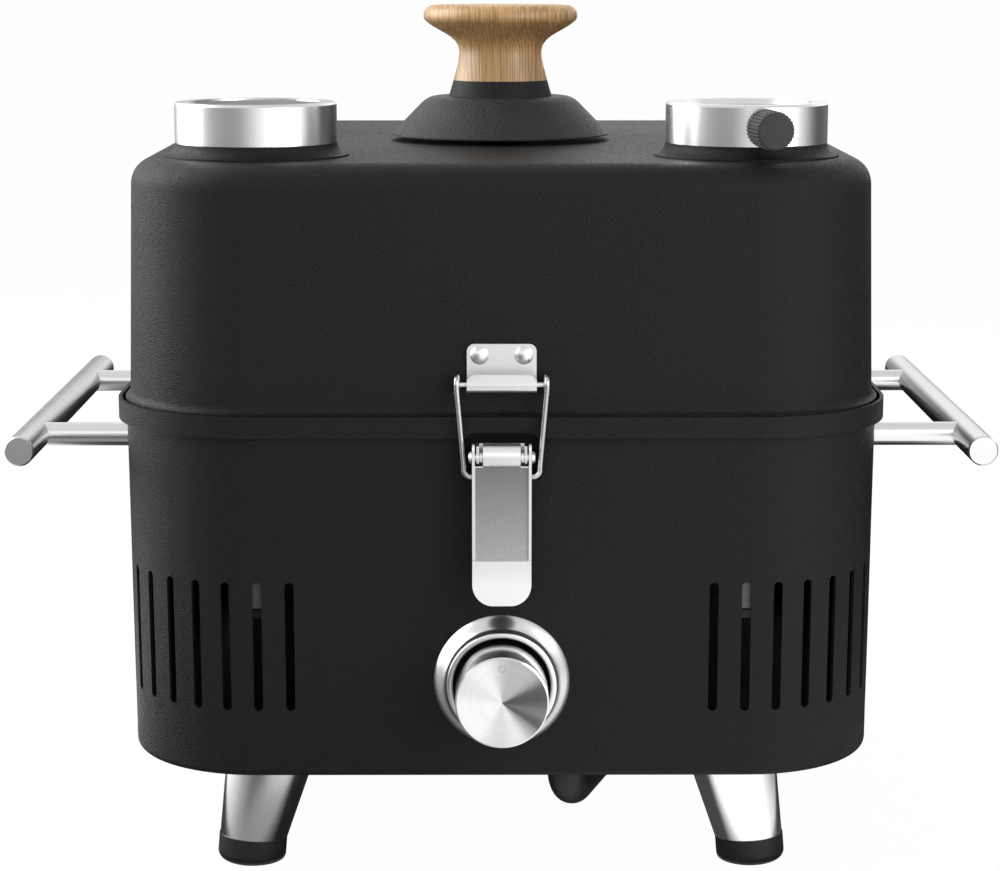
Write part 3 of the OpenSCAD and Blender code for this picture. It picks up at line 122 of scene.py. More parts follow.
class GrillFinishes(bpy.types.PropertyGroup):
    """Colours and surface values of the grill's finishes."""
    coat_colour: FloatVectorProperty(
        name="Coat", description="Colour of the textured coating", subtype="COLOR", size=3,
        min=0, max=1, default=(0.0048, 0.0048, 0.005))
    coat_roughness: FloatProperty(
        name="Coat roughness", description="Roughness of the textured coating", min=0, max=1, default=0.46)
    coat_grain: FloatProperty(
        name="Coat grain", description="Grains of the coating for each metre",
        min=200, max=4000, default=1150)
    steel_colour: FloatVectorProperty(
        name="Steel", description="Colour of the satin steel", subtype="COLOR", size=3,
        min=0, max=1, default=(0.64, 0.64, 0.645))
    oak_light: FloatVectorProperty(
        name="Oak, light", description="Colour of the oak between its pores", subtype="COLOR", size=3,
        min=0, max=1, default=(0.38, 0.232, 0.093))
    oak_dark: FloatVectorProperty(
        name="Oak, dark", description="Colour of the oak's late rings and pores", subtype="COLOR", size=3,
        min=0, max=1, default=(0.17, 0.09, 0.034))
    plastic_colour: FloatVectorProperty(
        name="Black plastic", description="Colour of the moulded black pieces", subtype="COLOR", size=3,
        min=0, max=1, default=(0.008, 0.008, 0.0085))


class GrillDetails(bpy.types.PropertyGroup):
    """Sizes of the fine pieces that the scene adds."""
    dial_ticks: IntProperty(
        name="Dial ticks", description="Marks round the thermometer's dial", min=5, max=90, default=41)
    dial_sweep: FloatProperty(
        name="Dial sweep", description="Angle that the marks cover", subtype="ANGLE",
        min=1, max=6.2, default=math.radians(270))


class GrillStage(bpy.types.PropertyGroup):
    """Camera and ground."""
    focal_length: FloatProperty(
        name="Focal length", description="Lens on a sensor 36 mm wide", min=20, max=300, default=88.81)
    camera_reach: FloatProperty(
        name="Camera reach", description="Distance from the base's front wall", unit="LENGTH",
        min=0.3, max=5, default=1.292)
    camera_height: FloatProperty(
        name="Camera height", description="Height above the ground", unit="LENGTH",
        min=0, max=3, default=0.5026)
    camera_pitch: FloatProperty(
        name="Camera pitch", description="How far the camera looks down", subtype="ANGLE",
        min=-1, max=1.5, default=math.radians(10.66))
    camera_side: FloatProperty(
        name="Camera side", description="Shift of the camera along X", unit="LENGTH",
        min=-1, max=1, default=-0.0052)
    camera_turn: FloatProperty(
        name="Camera turn", description="How far the camera looks to the right", subtype="ANGLE",
        min=-1, max=1, default=math.radians(0.19))
    ground_colour: FloatVectorProperty(
        name="Ground", description="Colour of floor and backdrop", subtype="COLOR", size=3,
        min=0, max=1, default=(0.92, 0.92, 0.92))


def finishes():
    return bpy.context.scene.grill_finishes


def details():
    return bpy.context.scene.grill_details


# Node trees: small helpers

def put(tree, kind, inputs=None, **settings):
    """Adds a node, sets its fields, and sets or links its inputs by name or number."""
    made = tree.nodes.new(kind)
    for key, value in settings.items():
        setattr(made, key, value)
    for key, value in (inputs or {}).items():
        socket = made.inputs[key]
        if isinstance(value, bpy.types.NodeSocket):
            tree.links.new(value, socket)
        else:
            socket.default_value = value
    return made


def calc(tree, operation, first, second=0.0):
    return put(tree, "ShaderNodeMath", {0: first, 1: second}, operation=operation).outputs[0]


def times(tree, first, second):
    return calc(tree, "MULTIPLY", first, second)


def plus(tree, first, second):
    return calc(tree, "ADD", first, second)


def vector_calc(tree, operation, first, second, output=0):
    return put(tree, "ShaderNodeVectorMath", {0: first, 1: second}, operation=operation).outputs[output]


def remap(tree, value, low, high, to_low, to_high):
    inputs = {"Value": value, "From Min": low, "From Max": high, "To Min": to_low, "To Max": to_high}
    return put(tree, "ShaderNodeMapRange", inputs).outputs[0]


def fade_in(tree, value, span, share=1.0):
    return remap(tree, value, *span, 0.0, share)


def fade_out(tree, value, span):
    return remap(tree, value, *span, 1.0, 0.0)


def blend_colour(tree, factor, first, second, how="MIX"):
    inputs = {0: factor, 6: first, 7: second}
    return put(tree, "ShaderNodeMix", inputs, data_type="RGBA", blend_type=how).outputs[2]


def noise(tree, vector, scale, detail=2.0, roughness=0.5, distortion=0.0):
    inputs = {
        "Vector": vector, "Scale": scale, "Detail": detail, "Roughness": roughness, "Distortion": distortion}
    return put(tree, "ShaderNodeTexNoise", inputs).outputs[0]


def along_axes(tree, vector, turn):
    """A vector's parts along the rows of a turn."""
    parts = [vector_calc(tree, "DOT_PRODUCT", vector, tuple(row), "Value") for row in turn]
    return put(tree, "ShaderNodeCombineXYZ", dict(enumerate(parts))).outputs[0]


def round_axis(tree, vector):
    """A vector's three parts, its reach from the third axis and its turn round it."""
    parts = put(tree, "ShaderNodeSeparateXYZ", {0: vector}).outputs
    squares = plus(tree, times(tree, parts[0], parts[0]), times(tree, parts[1], parts[1]))
    return parts, calc(tree, "SQRT", squares), calc(tree, "ARCTAN2", parts[1], parts[0])


def seen_directly(tree):
    """1 for rays from the eye, straight or by way of a mirror or glass; 0 for rays that light a surface."""
    ray = tree.nodes.new("ShaderNodeLightPath").outputs
    mirrored = calc(tree, "MAXIMUM", ray["Is Glossy Ray"], ray["Is Transmission Ray"])
    return calc(tree, "MAXIMUM", ray["Is Camera Ray"], mirrored)


def rgba(colour):
    return (colour[0], colour[1], colour[2], 1.0)


def toned(colour, factor):
    return tuple(part * factor for part in colour)


def shaded(colour, factor):
    return rgba(toned(colour, factor))


def blended(first, second, share):
    return rgba([a + (b - a) * share for a, b in zip(first, second)])


def bare_tree(owner, output):
    """Empties an owner's node tree; returns it and the socket of its new output node."""
    owner.use_nodes = True
    tree = owner.node_tree
    tree.nodes.clear()
    return tree, tree.nodes.new(output).inputs["Surface"]


def new_group(name, kind, inputs, outputs):
    """Starts a node group with named sockets; returns its tree, input node and output node."""
    tree = bpy.data.node_groups.new(name, kind)
    for label, socket_kind, default in inputs:
        socket = tree.interface.new_socket(name=label, in_out="INPUT", socket_type=socket_kind)
        if default is not None:
            socket.default_value = default
    for label, socket_kind in outputs:
        tree.interface.new_socket(name=label, in_out="OUTPUT", socket_type=socket_kind)
    return tree, tree.nodes.new("NodeGroupInput"), tree.nodes.new("NodeGroupOutput")


def use_group(tree, group, inputs):
    return put(tree, "ShaderNodeGroup", inputs, node_tree=group).outputs


def coat_grain_group():
    """Fine pebbled skin of a baked textured coating."""
    name = "Coat grain"
    if name in bpy.data.node_groups:
        return bpy.data.node_groups[name]
    tree, source, sink = new_group(
        name, "ShaderNodeTree", [("Vector", "NodeSocketVector", None), ("Grain", "NodeSocketFloat", 1150.0)],
        [("Height", "NodeSocketFloat"), ("Tone", "NodeSocketFloat"), ("Gloss", "NodeSocketFloat")])
    vector, grain = source.outputs["Vector"], source.outputs["Grain"]
    pebbles = put(tree, "ShaderNodeTexVoronoi", {"Vector": vector, "Scale": grain}).outputs
    speck = put(tree, "ShaderNodeSeparateColor", {0: pebbles["Color"]}).outputs[0]
    fine = noise(tree, vector, times(tree, grain, 1.7), detail=3.0)
    broad = noise(tree, vector, 9.0, detail=3.0)
    height = plus(tree, times(tree, pebbles["Distance"], -0.7), times(tree, fine, 0.8))
    mottle = plus(
        tree, remap(tree, fine, 0.3, 0.7, -0.12, 0.12), remap(tree, broad, 0.3, 0.7, -0.05, 0.05))
    tree.links.new(height, sink.inputs["Height"])
    tree.links.new(plus(tree, remap(tree, speck, 0, 1, 0.8, 1.2), mottle), sink.inputs["Tone"])
    tree.links.new(remap(tree, speck, 0, 1, -0.13, 0.13), sink.inputs["Gloss"])
    return tree


def draw_streaks(tree, sink, vector, broad_scale):
    """Shared end of the groups of lines: fine noise over broad noise along the drawn-out vector."""
    fine = noise(tree, vector, 1.0, detail=3.0, roughness=0.6)
    broad = noise(tree, vector, broad_scale, detail=2.0)
    streak = plus(tree, times(tree, fine, 0.65), times(tree, broad, 0.35))
    tree.links.new(remap(tree, streak, 0.3, 0.7, 0.0, 1.0), sink.inputs["Streak"])
    tree.links.new(fine, sink.inputs["Height"])


def brush_group():
    """Fine straight scratches along the first axis of the vector."""
    name = "Brush lines"
    if name in bpy.data.node_groups:
        return bpy.data.node_groups[name]
    tree, source, sink = new_group(
        name, "ShaderNodeTree", [("Vector", "NodeSocketVector", None), ("Lines", "NodeSocketFloat", 1600.0)],
        [("Streak", "NodeSocketFloat"), ("Height", "NodeSocketFloat")])
    lines = source.outputs["Lines"]
    along = times(tree, lines, 0.008)
    scale = put(tree, "ShaderNodeCombineXYZ", {0: along, 1: lines, 2: lines}).outputs[0]
    draw_streaks(tree, sink, vector_calc(tree, "MULTIPLY", source.outputs["Vector"], scale), 0.16)
    return tree


def turned_group():
    """Fine rings left by turning, round the third axis of the vector."""
    name = "Turned lines"
    if name in bpy.data.node_groups:
        return bpy.data.node_groups[name]
    tree, source, sink = new_group(
        name, "ShaderNodeTree", [("Vector", "NodeSocketVector", None), ("Rings", "NodeSocketFloat", 2200.0)],
        [("Streak", "NodeSocketFloat"), ("Height", "NodeSocketFloat")])
    parts, reach, turn = round_axis(tree, source.outputs["Vector"])
    rings = source.outputs["Rings"]
    ring_vector = put(tree, "ShaderNodeCombineXYZ", {
        0: times(tree, reach, rings), 1: times(tree, parts[2], rings),
        2: times(tree, calc(tree, "SINE", turn), 0.7)}).outputs[0]
    draw_streaks(tree, sink, ring_vector, 0.14)
    return tree


def smudge_group():
    """Broad faint marks of handling."""
    name = "Handling marks"
    if name in bpy.data.node_groups:
        return bpy.data.node_groups[name]
    tree, source, sink = new_group(
        name, "ShaderNodeTree", [("Vector", "NodeSocketVector", None), ("Scale", "NodeSocketFloat", 28.0)],
        [("Mark", "NodeSocketFloat")])
    patch = noise(tree, source.outputs["Vector"], source.outputs["Scale"], detail=4.0, distortion=0.6)
    tree.links.new(remap(tree, patch, 0.42, 0.68, 0.0, 1.0), sink.inputs["Mark"])
    return tree


# Finishes

def new_material(name):
    """An empty node material; returns it, its tree, its shader and its Object coordinates."""
    material = bpy.data.materials.new(name)
    tree, surface = bare_tree(material, "ShaderNodeOutputMaterial")
    shader = tree.nodes.new("ShaderNodeBsdfPrincipled")
    tree.links.new(shader.outputs[0], surface)
    place = tree.nodes.new("ShaderNodeTexCoord").outputs["Object"]
    return material, tree, shader, place


def bump(tree, shader, height, strength, distance, under=None):
    """Lifts a shader's surface by a height, over another normal where one is given."""
    made = put(tree, "ShaderNodeBump", {"Strength": strength, "Distance": distance, "Height": height})
    if under:
        tree.links.new(under, made.inputs["Normal"])
    tree.links.new(made.outputs[0], shader.inputs["Normal"])


def tint(tree, shader, colour, tone):
    """Gives a shader a colour that a grey tone darkens or lightens."""
    grey = put(tree, "ShaderNodeCombineColor", {0: tone, 1: tone, 2: tone}).outputs[0]
    tree.links.new(blend_colour(tree, 1.0, rgba(colour), grey, "MULTIPLY"), shader.inputs["Base Color"])


def turned_place(tree, place, middle, direction):
    """Object coordinates moved and turned so that the third axis runs along a direction through a point."""
    turn = Vector(direction).to_track_quat("Z", "Y").to_matrix().inverted()
    return along_axes(tree, vector_calc(tree, "SUBTRACT", place, tuple(middle)), turn)


def textured_coat(name, colour, roughness, grain):
    """Baked black coating with a fine pebbled skin."""
    material, tree, shader, place = new_material(name)
    skin = use_group(tree, coat_grain_group(), {"Vector": place, "Grain": grain})
    marks = use_group(tree, smudge_group(), {"Vector": place, "Scale": 11.0})
    tint(tree, shader, colour, skin["Tone"])
    gloss = plus(tree, skin["Gloss"], remap(tree, marks["Mark"], 0, 1, roughness, roughness - 0.03))
    tree.links.new(gloss, shader.inputs["Roughness"])
    shader.inputs["Specular IOR Level"].default_value = COAT_SHINE
    bump(tree, shader, skin["Height"], strength=0.9, distance=0.0004)
    return material


def steel_from_streaks(tree, shader, place, colour, roughness, streaks, spread, depth=0.00003, under=None):
    """Shared end of the steel finishes: streaks tint the metal, vary its roughness and lift its surface."""
    marks = use_group(tree, smudge_group(), {"Vector": place, "Scale": 26.0})
    streak = streaks["Streak"]
    metal = blend_colour(tree, streak, shaded(colour, 1 - 2 * spread), shaded(colour, 1 + spread))
    tree.links.new(metal, shader.inputs["Base Color"])
    rough = remap(tree, streak, 0, 1, roughness + spread, roughness - spread)
    rough = plus(tree, rough, remap(tree, marks["Mark"], 0, 1, 0.0, spread))
    tree.links.new(rough, shader.inputs["Roughness"])
    shader.inputs["Metallic"].default_value = 1.0
    bump(tree, shader, streaks["Height"], 0.1, depth, under=under)


def brushed_steel(name, colour, roughness, along=(1, 0, 0), lines=1600.0, spread=0.03):
    """Steel with straight brush lines along a direction."""
    material, tree, shader, place = new_material(name)
    turn = Vector(along).to_track_quat("X", "Z").to_matrix().inverted()
    streaks = use_group(tree, brush_group(), {"Vector": along_axes(tree, place, turn), "Lines": lines})
    steel_from_streaks(tree, shader, place, colour, roughness, streaks, spread)
    return material


def turned_steel(name, colour, middle, direction, roughness, rings=2200.0, spread=0.012):
    """Steel with the fine rings of turning round an axis."""
    material, tree, shader, place = new_material(name)
    local = turned_place(tree, place, middle, direction)
    streaks = use_group(tree, turned_group(), {"Vector": local, "Rings": rings})
    steel_from_streaks(tree, shader, place, colour, roughness, streaks, spread, depth=0.00001)
    return material


def spun_steel(name, colour, middle, direction, roughness, lean):
    """Disc turned on a lathe: the walls of its grooves lean inwards, so light fans out over it."""
    material, tree, shader, place = new_material(name)
    local = turned_place(tree, place, middle, direction)
    streaks = use_group(tree, turned_group(), {"Vector": local, "Rings": 2600.0})
    _, reach, turn = round_axis(tree, local)
    fan = lean
    for blades, phase, share in FAN_WAVES:
        wave = calc(tree, "SINE", plus(tree, times(tree, turn, blades), phase))
        fan = plus(tree, times(tree, wave, share), fan)
    dish = times(tree, reach, fan)
    leaning = put(tree, "ShaderNodeBump", {"Strength": 1.0, "Distance": 1.0, "Height": dish}).outputs[0]
    steel_from_streaks(tree, shader, place, colour, roughness, streaks, spread=0.03, under=leaning)
    axis = "XYZ"[max(range(3), key=lambda i: abs(direction[i]))]
    tangent = put(tree, "ShaderNodeTangent", direction_type="RADIAL", axis=axis).outputs[0]
    tree.links.new(tangent, shader.inputs["Tangent"])
    shader.inputs["Anisotropic"].default_value = 0.6
    return material


def blasted_steel(name, colour, roughness, contrast=0.1):
    """Steel with an even matt grain."""
    material, tree, shader, place = new_material(name)
    skin = use_group(tree, coat_grain_group(), {"Vector": place, "Grain": 2000.0})
    tone = remap(tree, skin["Tone"], 0.7, 1.3, 0.0, 1.0)
    metal = blend_colour(tree, tone, shaded(colour, 1 - contrast), shaded(colour, 1 + contrast))
    tree.links.new(metal, shader.inputs["Base Color"])
    rough = remap(tree, skin["Tone"], 0.7, 1.3, roughness + 0.04, roughness - 0.04)
    tree.links.new(rough, shader.inputs["Roughness"])
    shader.inputs["Metallic"].default_value = 1.0
    bump(tree, shader, skin["Height"], strength=contrast, distance=0.00006)
    return material


def lever_steel(name, colour, low, high):
    """Bright pressed steel; the web between its rails, in a box, has a dark blasted grain, with painted shade
    that darkens it towards the top.
    """
    material, tree, shader, place = new_material(name)
    skin = use_group(tree, coat_grain_group(), {"Vector": place, "Grain": 2400.0})
    across, _, height = put(tree, "ShaderNodeSeparateXYZ", {0: place}).outputs
    edge = 0.3 * MM
    half = (high[0] - low[0]) / 2
    aside = calc(tree, "ABSOLUTE", calc(tree, "SUBTRACT", across, (low[0] + high[0]) / 2))
    web = fade_out(tree, aside, (half - edge, half))
    web = times(tree, web, fade_in(tree, height, (low[2], low[2] + edge)))
    web = times(tree, web, fade_out(tree, height, (high[2] - edge, high[2])))
    grain = remap(tree, skin["Tone"], 0.7, 1.3, 0.0, 1.0)
    # Painted shade: the web's colour darkens from its foot to its top.
    painted_top_shade = remap(tree, height, low[2], high[2], 0.5, 0.25)
    matt = times(tree, painted_top_shade, remap(tree, grain, 0, 1, 0.84, 1.16))
    tint(tree, shader, colour, remap(tree, web, 0, 1, 1.0, matt))
    tree.links.new(remap(tree, web, 0, 1, 0.3, 0.5), shader.inputs["Roughness"])
    shader.inputs["Metallic"].default_value = 1.0
    bump(tree, shader, times(tree, skin["Height"], web), strength=0.5, distance=0.00008)
    return material


def rolled_steel(name, colour, roughness):
    """Plain steel with faint rolling lines."""
    material, tree, shader, place = new_material(name)
    streaks = use_group(tree, brush_group(), {"Vector": place, "Lines": 500.0})
    steel_from_streaks(tree, shader, place, colour, roughness, streaks, spread=0.05, depth=0.00004)
    return material


def moulded(name, colour, roughness, grain, shine=0.2):
    """Moulded black plastic or rubber with a fine grain."""
    material, tree, shader, place = new_material(name)
    skin = use_group(tree, coat_grain_group(), {"Vector": place, "Grain": grain})
    marks = use_group(tree, smudge_group(), {"Vector": place, "Scale": 40.0})
    tone = remap(tree, skin["Tone"], 0.8, 1.2, 0.0, 1.0)
    black = blend_colour(tree, tone, shaded(colour, 0.8), shaded(colour, 1.25))
    tree.links.new(black, shader.inputs["Base Color"])
    tree.links.new(remap(tree, marks["Mark"], 0, 1, roughness, roughness - 0.06), shader.inputs["Roughness"])
    shader.inputs["Specular IOR Level"].default_value = shine
    bump(tree, shader, skin["Height"], strength=0.35, distance=0.00008)
    return material


def oak(name, light, dark, middle):
    """Oak with straight upright grain: fine lines, short dark pores and a slow change of tone."""
    material, tree, shader, place = new_material(name)
    moved = vector_calc(tree, "SUBTRACT", place, tuple(middle))
    grain = put(tree, "ShaderNodeMapping", {"Vector": moved, "Rotation": (0.01, 0.02, 0.12)}).outputs[0]

    def drawn(along):
        return vector_calc(tree, "MULTIPLY", grain, (1.0, 0.1, along))

    figure = noise(tree, drawn(0.12), scale=60.0, detail=3.0, distortion=0.5)
    lines = noise(tree, drawn(0.01), scale=1150.0, detail=2.0, roughness=0.6)
    fibres = noise(tree, drawn(0.03), scale=1500.0, detail=2.0, roughness=0.6)
    pores = noise(tree, drawn(0.02), scale=1300.0, detail=1.0)
    base = blend_colour(
        tree, remap(tree, figure, 0.35, 0.7, 0.0, 0.4), rgba(light), blended(light, dark, 0.6))
    lined = blend_colour(tree, remap(tree, lines, 0.44, 0.62, 0.0, 0.85), base, rgba(dark))
    streaked = blend_colour(tree, remap(tree, fibres, 0.45, 0.75, 0.0, 0.45), lined, rgba(dark))
    pored = blend_colour(tree, remap(tree, pores, 0.6, 0.72, 0.0, 0.8), streaked, shaded(dark, 0.6))
    tree.links.new(pored, shader.inputs["Base Color"])
    tree.links.new(remap(tree, fibres, 0.3, 0.7, 0.42, 0.56), shader.inputs["Roughness"])
    sunk = remap(tree, pores, 0.58, 0.72, 0.0, 0.8)
    height = calc(tree, "SUBTRACT", times(tree, fibres, 0.5), sunk)
    bump(tree, shader, height, strength=0.3, distance=0.00012)
    return material


def machined_brass(name):
    """Brass with faint tool lines."""
    material, tree, shader, place = new_material(name)
    streaks = use_group(tree, brush_group(), {"Vector": place, "Lines": 900.0})
    steel_from_streaks(tree, shader, place, BRASS, 0.3, streaks, spread=0.05, depth=0.00004)
    return material


def cast_iron(name):
    """Black iron with the coarse skin of its mould."""
    material, tree, shader, place = new_material(name)
    skin = use_group(tree, coat_grain_group(), {"Vector": place, "Grain": 520.0})
    tone = remap(tree, skin["Tone"], 0.8, 1.2, 0.0, 1.0)
    black = blend_colour(tree, tone, rgba(IRON_DARK), rgba(IRON_LIGHT))
    tree.links.new(black, shader.inputs["Base Color"])
    tree.links.new(remap(tree, skin["Tone"], 0.8, 1.2, 0.62, 0.45), shader.inputs["Roughness"])
    bump(tree, shader, skin["Height"], strength=0.6, distance=0.0003)
    return material


def clear_glass(name):
    """Glass with faint handling marks."""
    material, tree, shader, place = new_material(name)
    marks = use_group(tree, smudge_group(), {"Vector": place, "Scale": 55.0})
    tree.links.new(remap(tree, marks["Mark"], 0, 1, 0.01, 0.05), shader.inputs["Roughness"])
    shader.inputs["Base Color"].default_value = rgba(GLASS_TINT)
    shader.inputs["Transmission Weight"].default_value = 1.0
    shader.inputs["IOR"].default_value = 1.46
    return material


def glazed(name, colour, roughness):
    """Smooth glaze or print with a slight unevenness."""
    material, tree, shader, place = new_material(name)
    marks = use_group(tree, smudge_group(), {"Vector": place, "Scale": 90.0})
    glaze = blend_colour(tree, marks["Mark"], rgba(colour), shaded(colour, 0.94))
    tree.links.new(glaze, shader.inputs["Base Color"])
    tree.links.new(remap(tree, marks["Mark"], 0, 1, roughness, roughness + 0.08), shader.inputs["Roughness"])
    return material


# Pieces

def merged_copy(node):
    """Copy of a solid's mesh with its loose triangles joined."""
    mesh = frame["nodes"][node].data.copy()
    mesh.name = node + "_skin"
    mesh.materials.clear()
    if "custom_normal" in mesh.attributes:
        mesh.attributes.remove(mesh.attributes["custom_normal"])
    work = bmesh.new()
    work.from_mesh(mesh)
    bmesh.ops.remove_doubles(work, verts=work.verts, dist=2e-6)
    bmesh.ops.dissolve_degenerate(work, edges=work.edges, dist=1e-6)
    work.to_mesh(mesh)
    work.free()
    return mesh


def settle(name, mesh, material, body, sharp=CRISP):
    """Makes a mesh into a piece that rides on a body, shaded smooth between its crisp edges."""
    mesh.materials.clear()
    mesh.materials.append(material)
    for face in mesh.polygons:
        face.use_smooth = True
        face.material_index = 0
    mesh.set_sharp_from_angle(angle=sharp)
    piece = bpy.data.objects.new(name, mesh)
    bpy.context.scene.collection.objects.link(piece)
    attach(piece, body)
    return piece


def skin(node, material, sharp=CRISP):
    """Smooth-shaded piece that takes the place of a solid."""
    piece = settle(node + "_skin", merged_copy(node), material, NODE_BODY[node], sharp)
    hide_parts(node)


def realised(name, tree, inputs):
    """Plain mesh that a geometry node tree makes."""
    holder = bpy.data.objects.new(name, bpy.data.meshes.new(name))
    bpy.context.scene.collection.objects.link(holder)
    modifier = holder.modifiers.new("Build", "NODES")
    modifier.node_group = tree
    sockets = {item.name: item.identifier for item in tree.interface.items_tree if item.in_out == "INPUT"}
    for label, value in inputs.items():
        modifier[sockets[label]] = value
    graph = bpy.context.evaluated_depsgraph_get()
    mesh = bpy.data.meshes.new_from_object(holder.evaluated_get(graph))
    holder.modifiers.remove(modifier)
    bpy.data.objects.remove(holder)
    mesh.name = name
    return mesh


def finish_tree(tree, source, sink, instances):
    """Ends a geometry tree with plain meshes that have their material."""
    solid = put(tree, "GeometryNodeRealizeInstances", {0: instances}).outputs[0]
    inputs = {"Geometry": solid, "Material": source.outputs["Material"]}
    dressed = put(tree, "GeometryNodeSetMaterial", inputs).outputs[0]
    tree.links.new(dressed, sink.inputs["Geometry"])


def ring_points(tree, source):
    """Points round the third axis, and the turn of each."""
    points = put(tree, "GeometryNodePoints", {"Count": source.outputs["Count"]}).outputs[0]
    index = tree.nodes.new("GeometryNodeInputIndex").outputs[0]
    radius = source.outputs["Radius"]
    turn = plus(tree, times(tree, index, source.outputs["Step"]), source.outputs["Start"])
    side = times(tree, calc(tree, "SINE", turn), radius)
    ahead = times(tree, calc(tree, "COSINE", turn), radius)
    place = put(tree, "ShaderNodeCombineXYZ", {0: side, 1: ahead}).outputs[0]
    moved = put(tree, "GeometryNodeSetPosition", {"Geometry": points, "Position": place}).outputs[0]
    angle = put(tree, "ShaderNodeCombineXYZ", {2: times(tree, turn, -1.0)}).outputs[0]
    return moved, angle


def ticks_tree():
    """Flat marks round a dial."""
    tree, source, sink = new_group("Dial ticks", "GeometryNodeTree", [
        ("Count", "NodeSocketInt", 41), ("Radius", "NodeSocketFloat", 0.03),
        ("Start", "NodeSocketFloat", 0.0), ("Step", "NodeSocketFloat", 0.1),
        ("Mark", "NodeSocketVector", (0.0004, 0.003, 0.0002)), ("Material", "NodeSocketMaterial", None),
    ], [("Geometry", "NodeSocketGeometry")])
    moved, angle = ring_points(tree, source)
    mark = put(tree, "GeometryNodeMeshCube", {"Size": source.outputs["Mark"]}).outputs[0]
    inputs = {"Points": moved, "Instance": mark, "Rotation": angle}
    finish_tree(tree, source, sink, put(tree, "GeometryNodeInstanceOnPoints", inputs).outputs[0])
    return tree


def place_along(middle, direction):
    """Matrix that puts the third axis along a direction at a point."""
    return Matrix.Translation(middle) @ Vector(direction).to_track_quat("Z", "Y").to_matrix().to_4x4()


def spun(name, profile, middle, direction, sides=144):
    """Closed ring mesh: a loop of (radius, height) points spun round an axis."""
    work = bmesh.new()
    turns = [math.tau * i / sides for i in range(sides)]
    rings = [[work.verts.new((radius * math.cos(turn), radius * math.sin(turn), height)) for turn in turns]
             for radius, height in profile]
    for here, after in zip(rings, rings[1:] + rings[:1]):
        for i in range(sides):
            j = (i + 1) % sides
            work.faces.new((here[i], here[j], after[j], after[i]))
    bmesh.ops.recalc_face_normals(work, faces=work.faces)
    mesh = bpy.data.meshes.new(name)
    work.to_mesh(mesh)
    work.free()
    mesh.transform(place_along(middle, direction))
    return mesh


# Operators

class GrillOperator:
    """What the grill's operators share"""
    bl_options = {"REGISTER", "UNDO"}


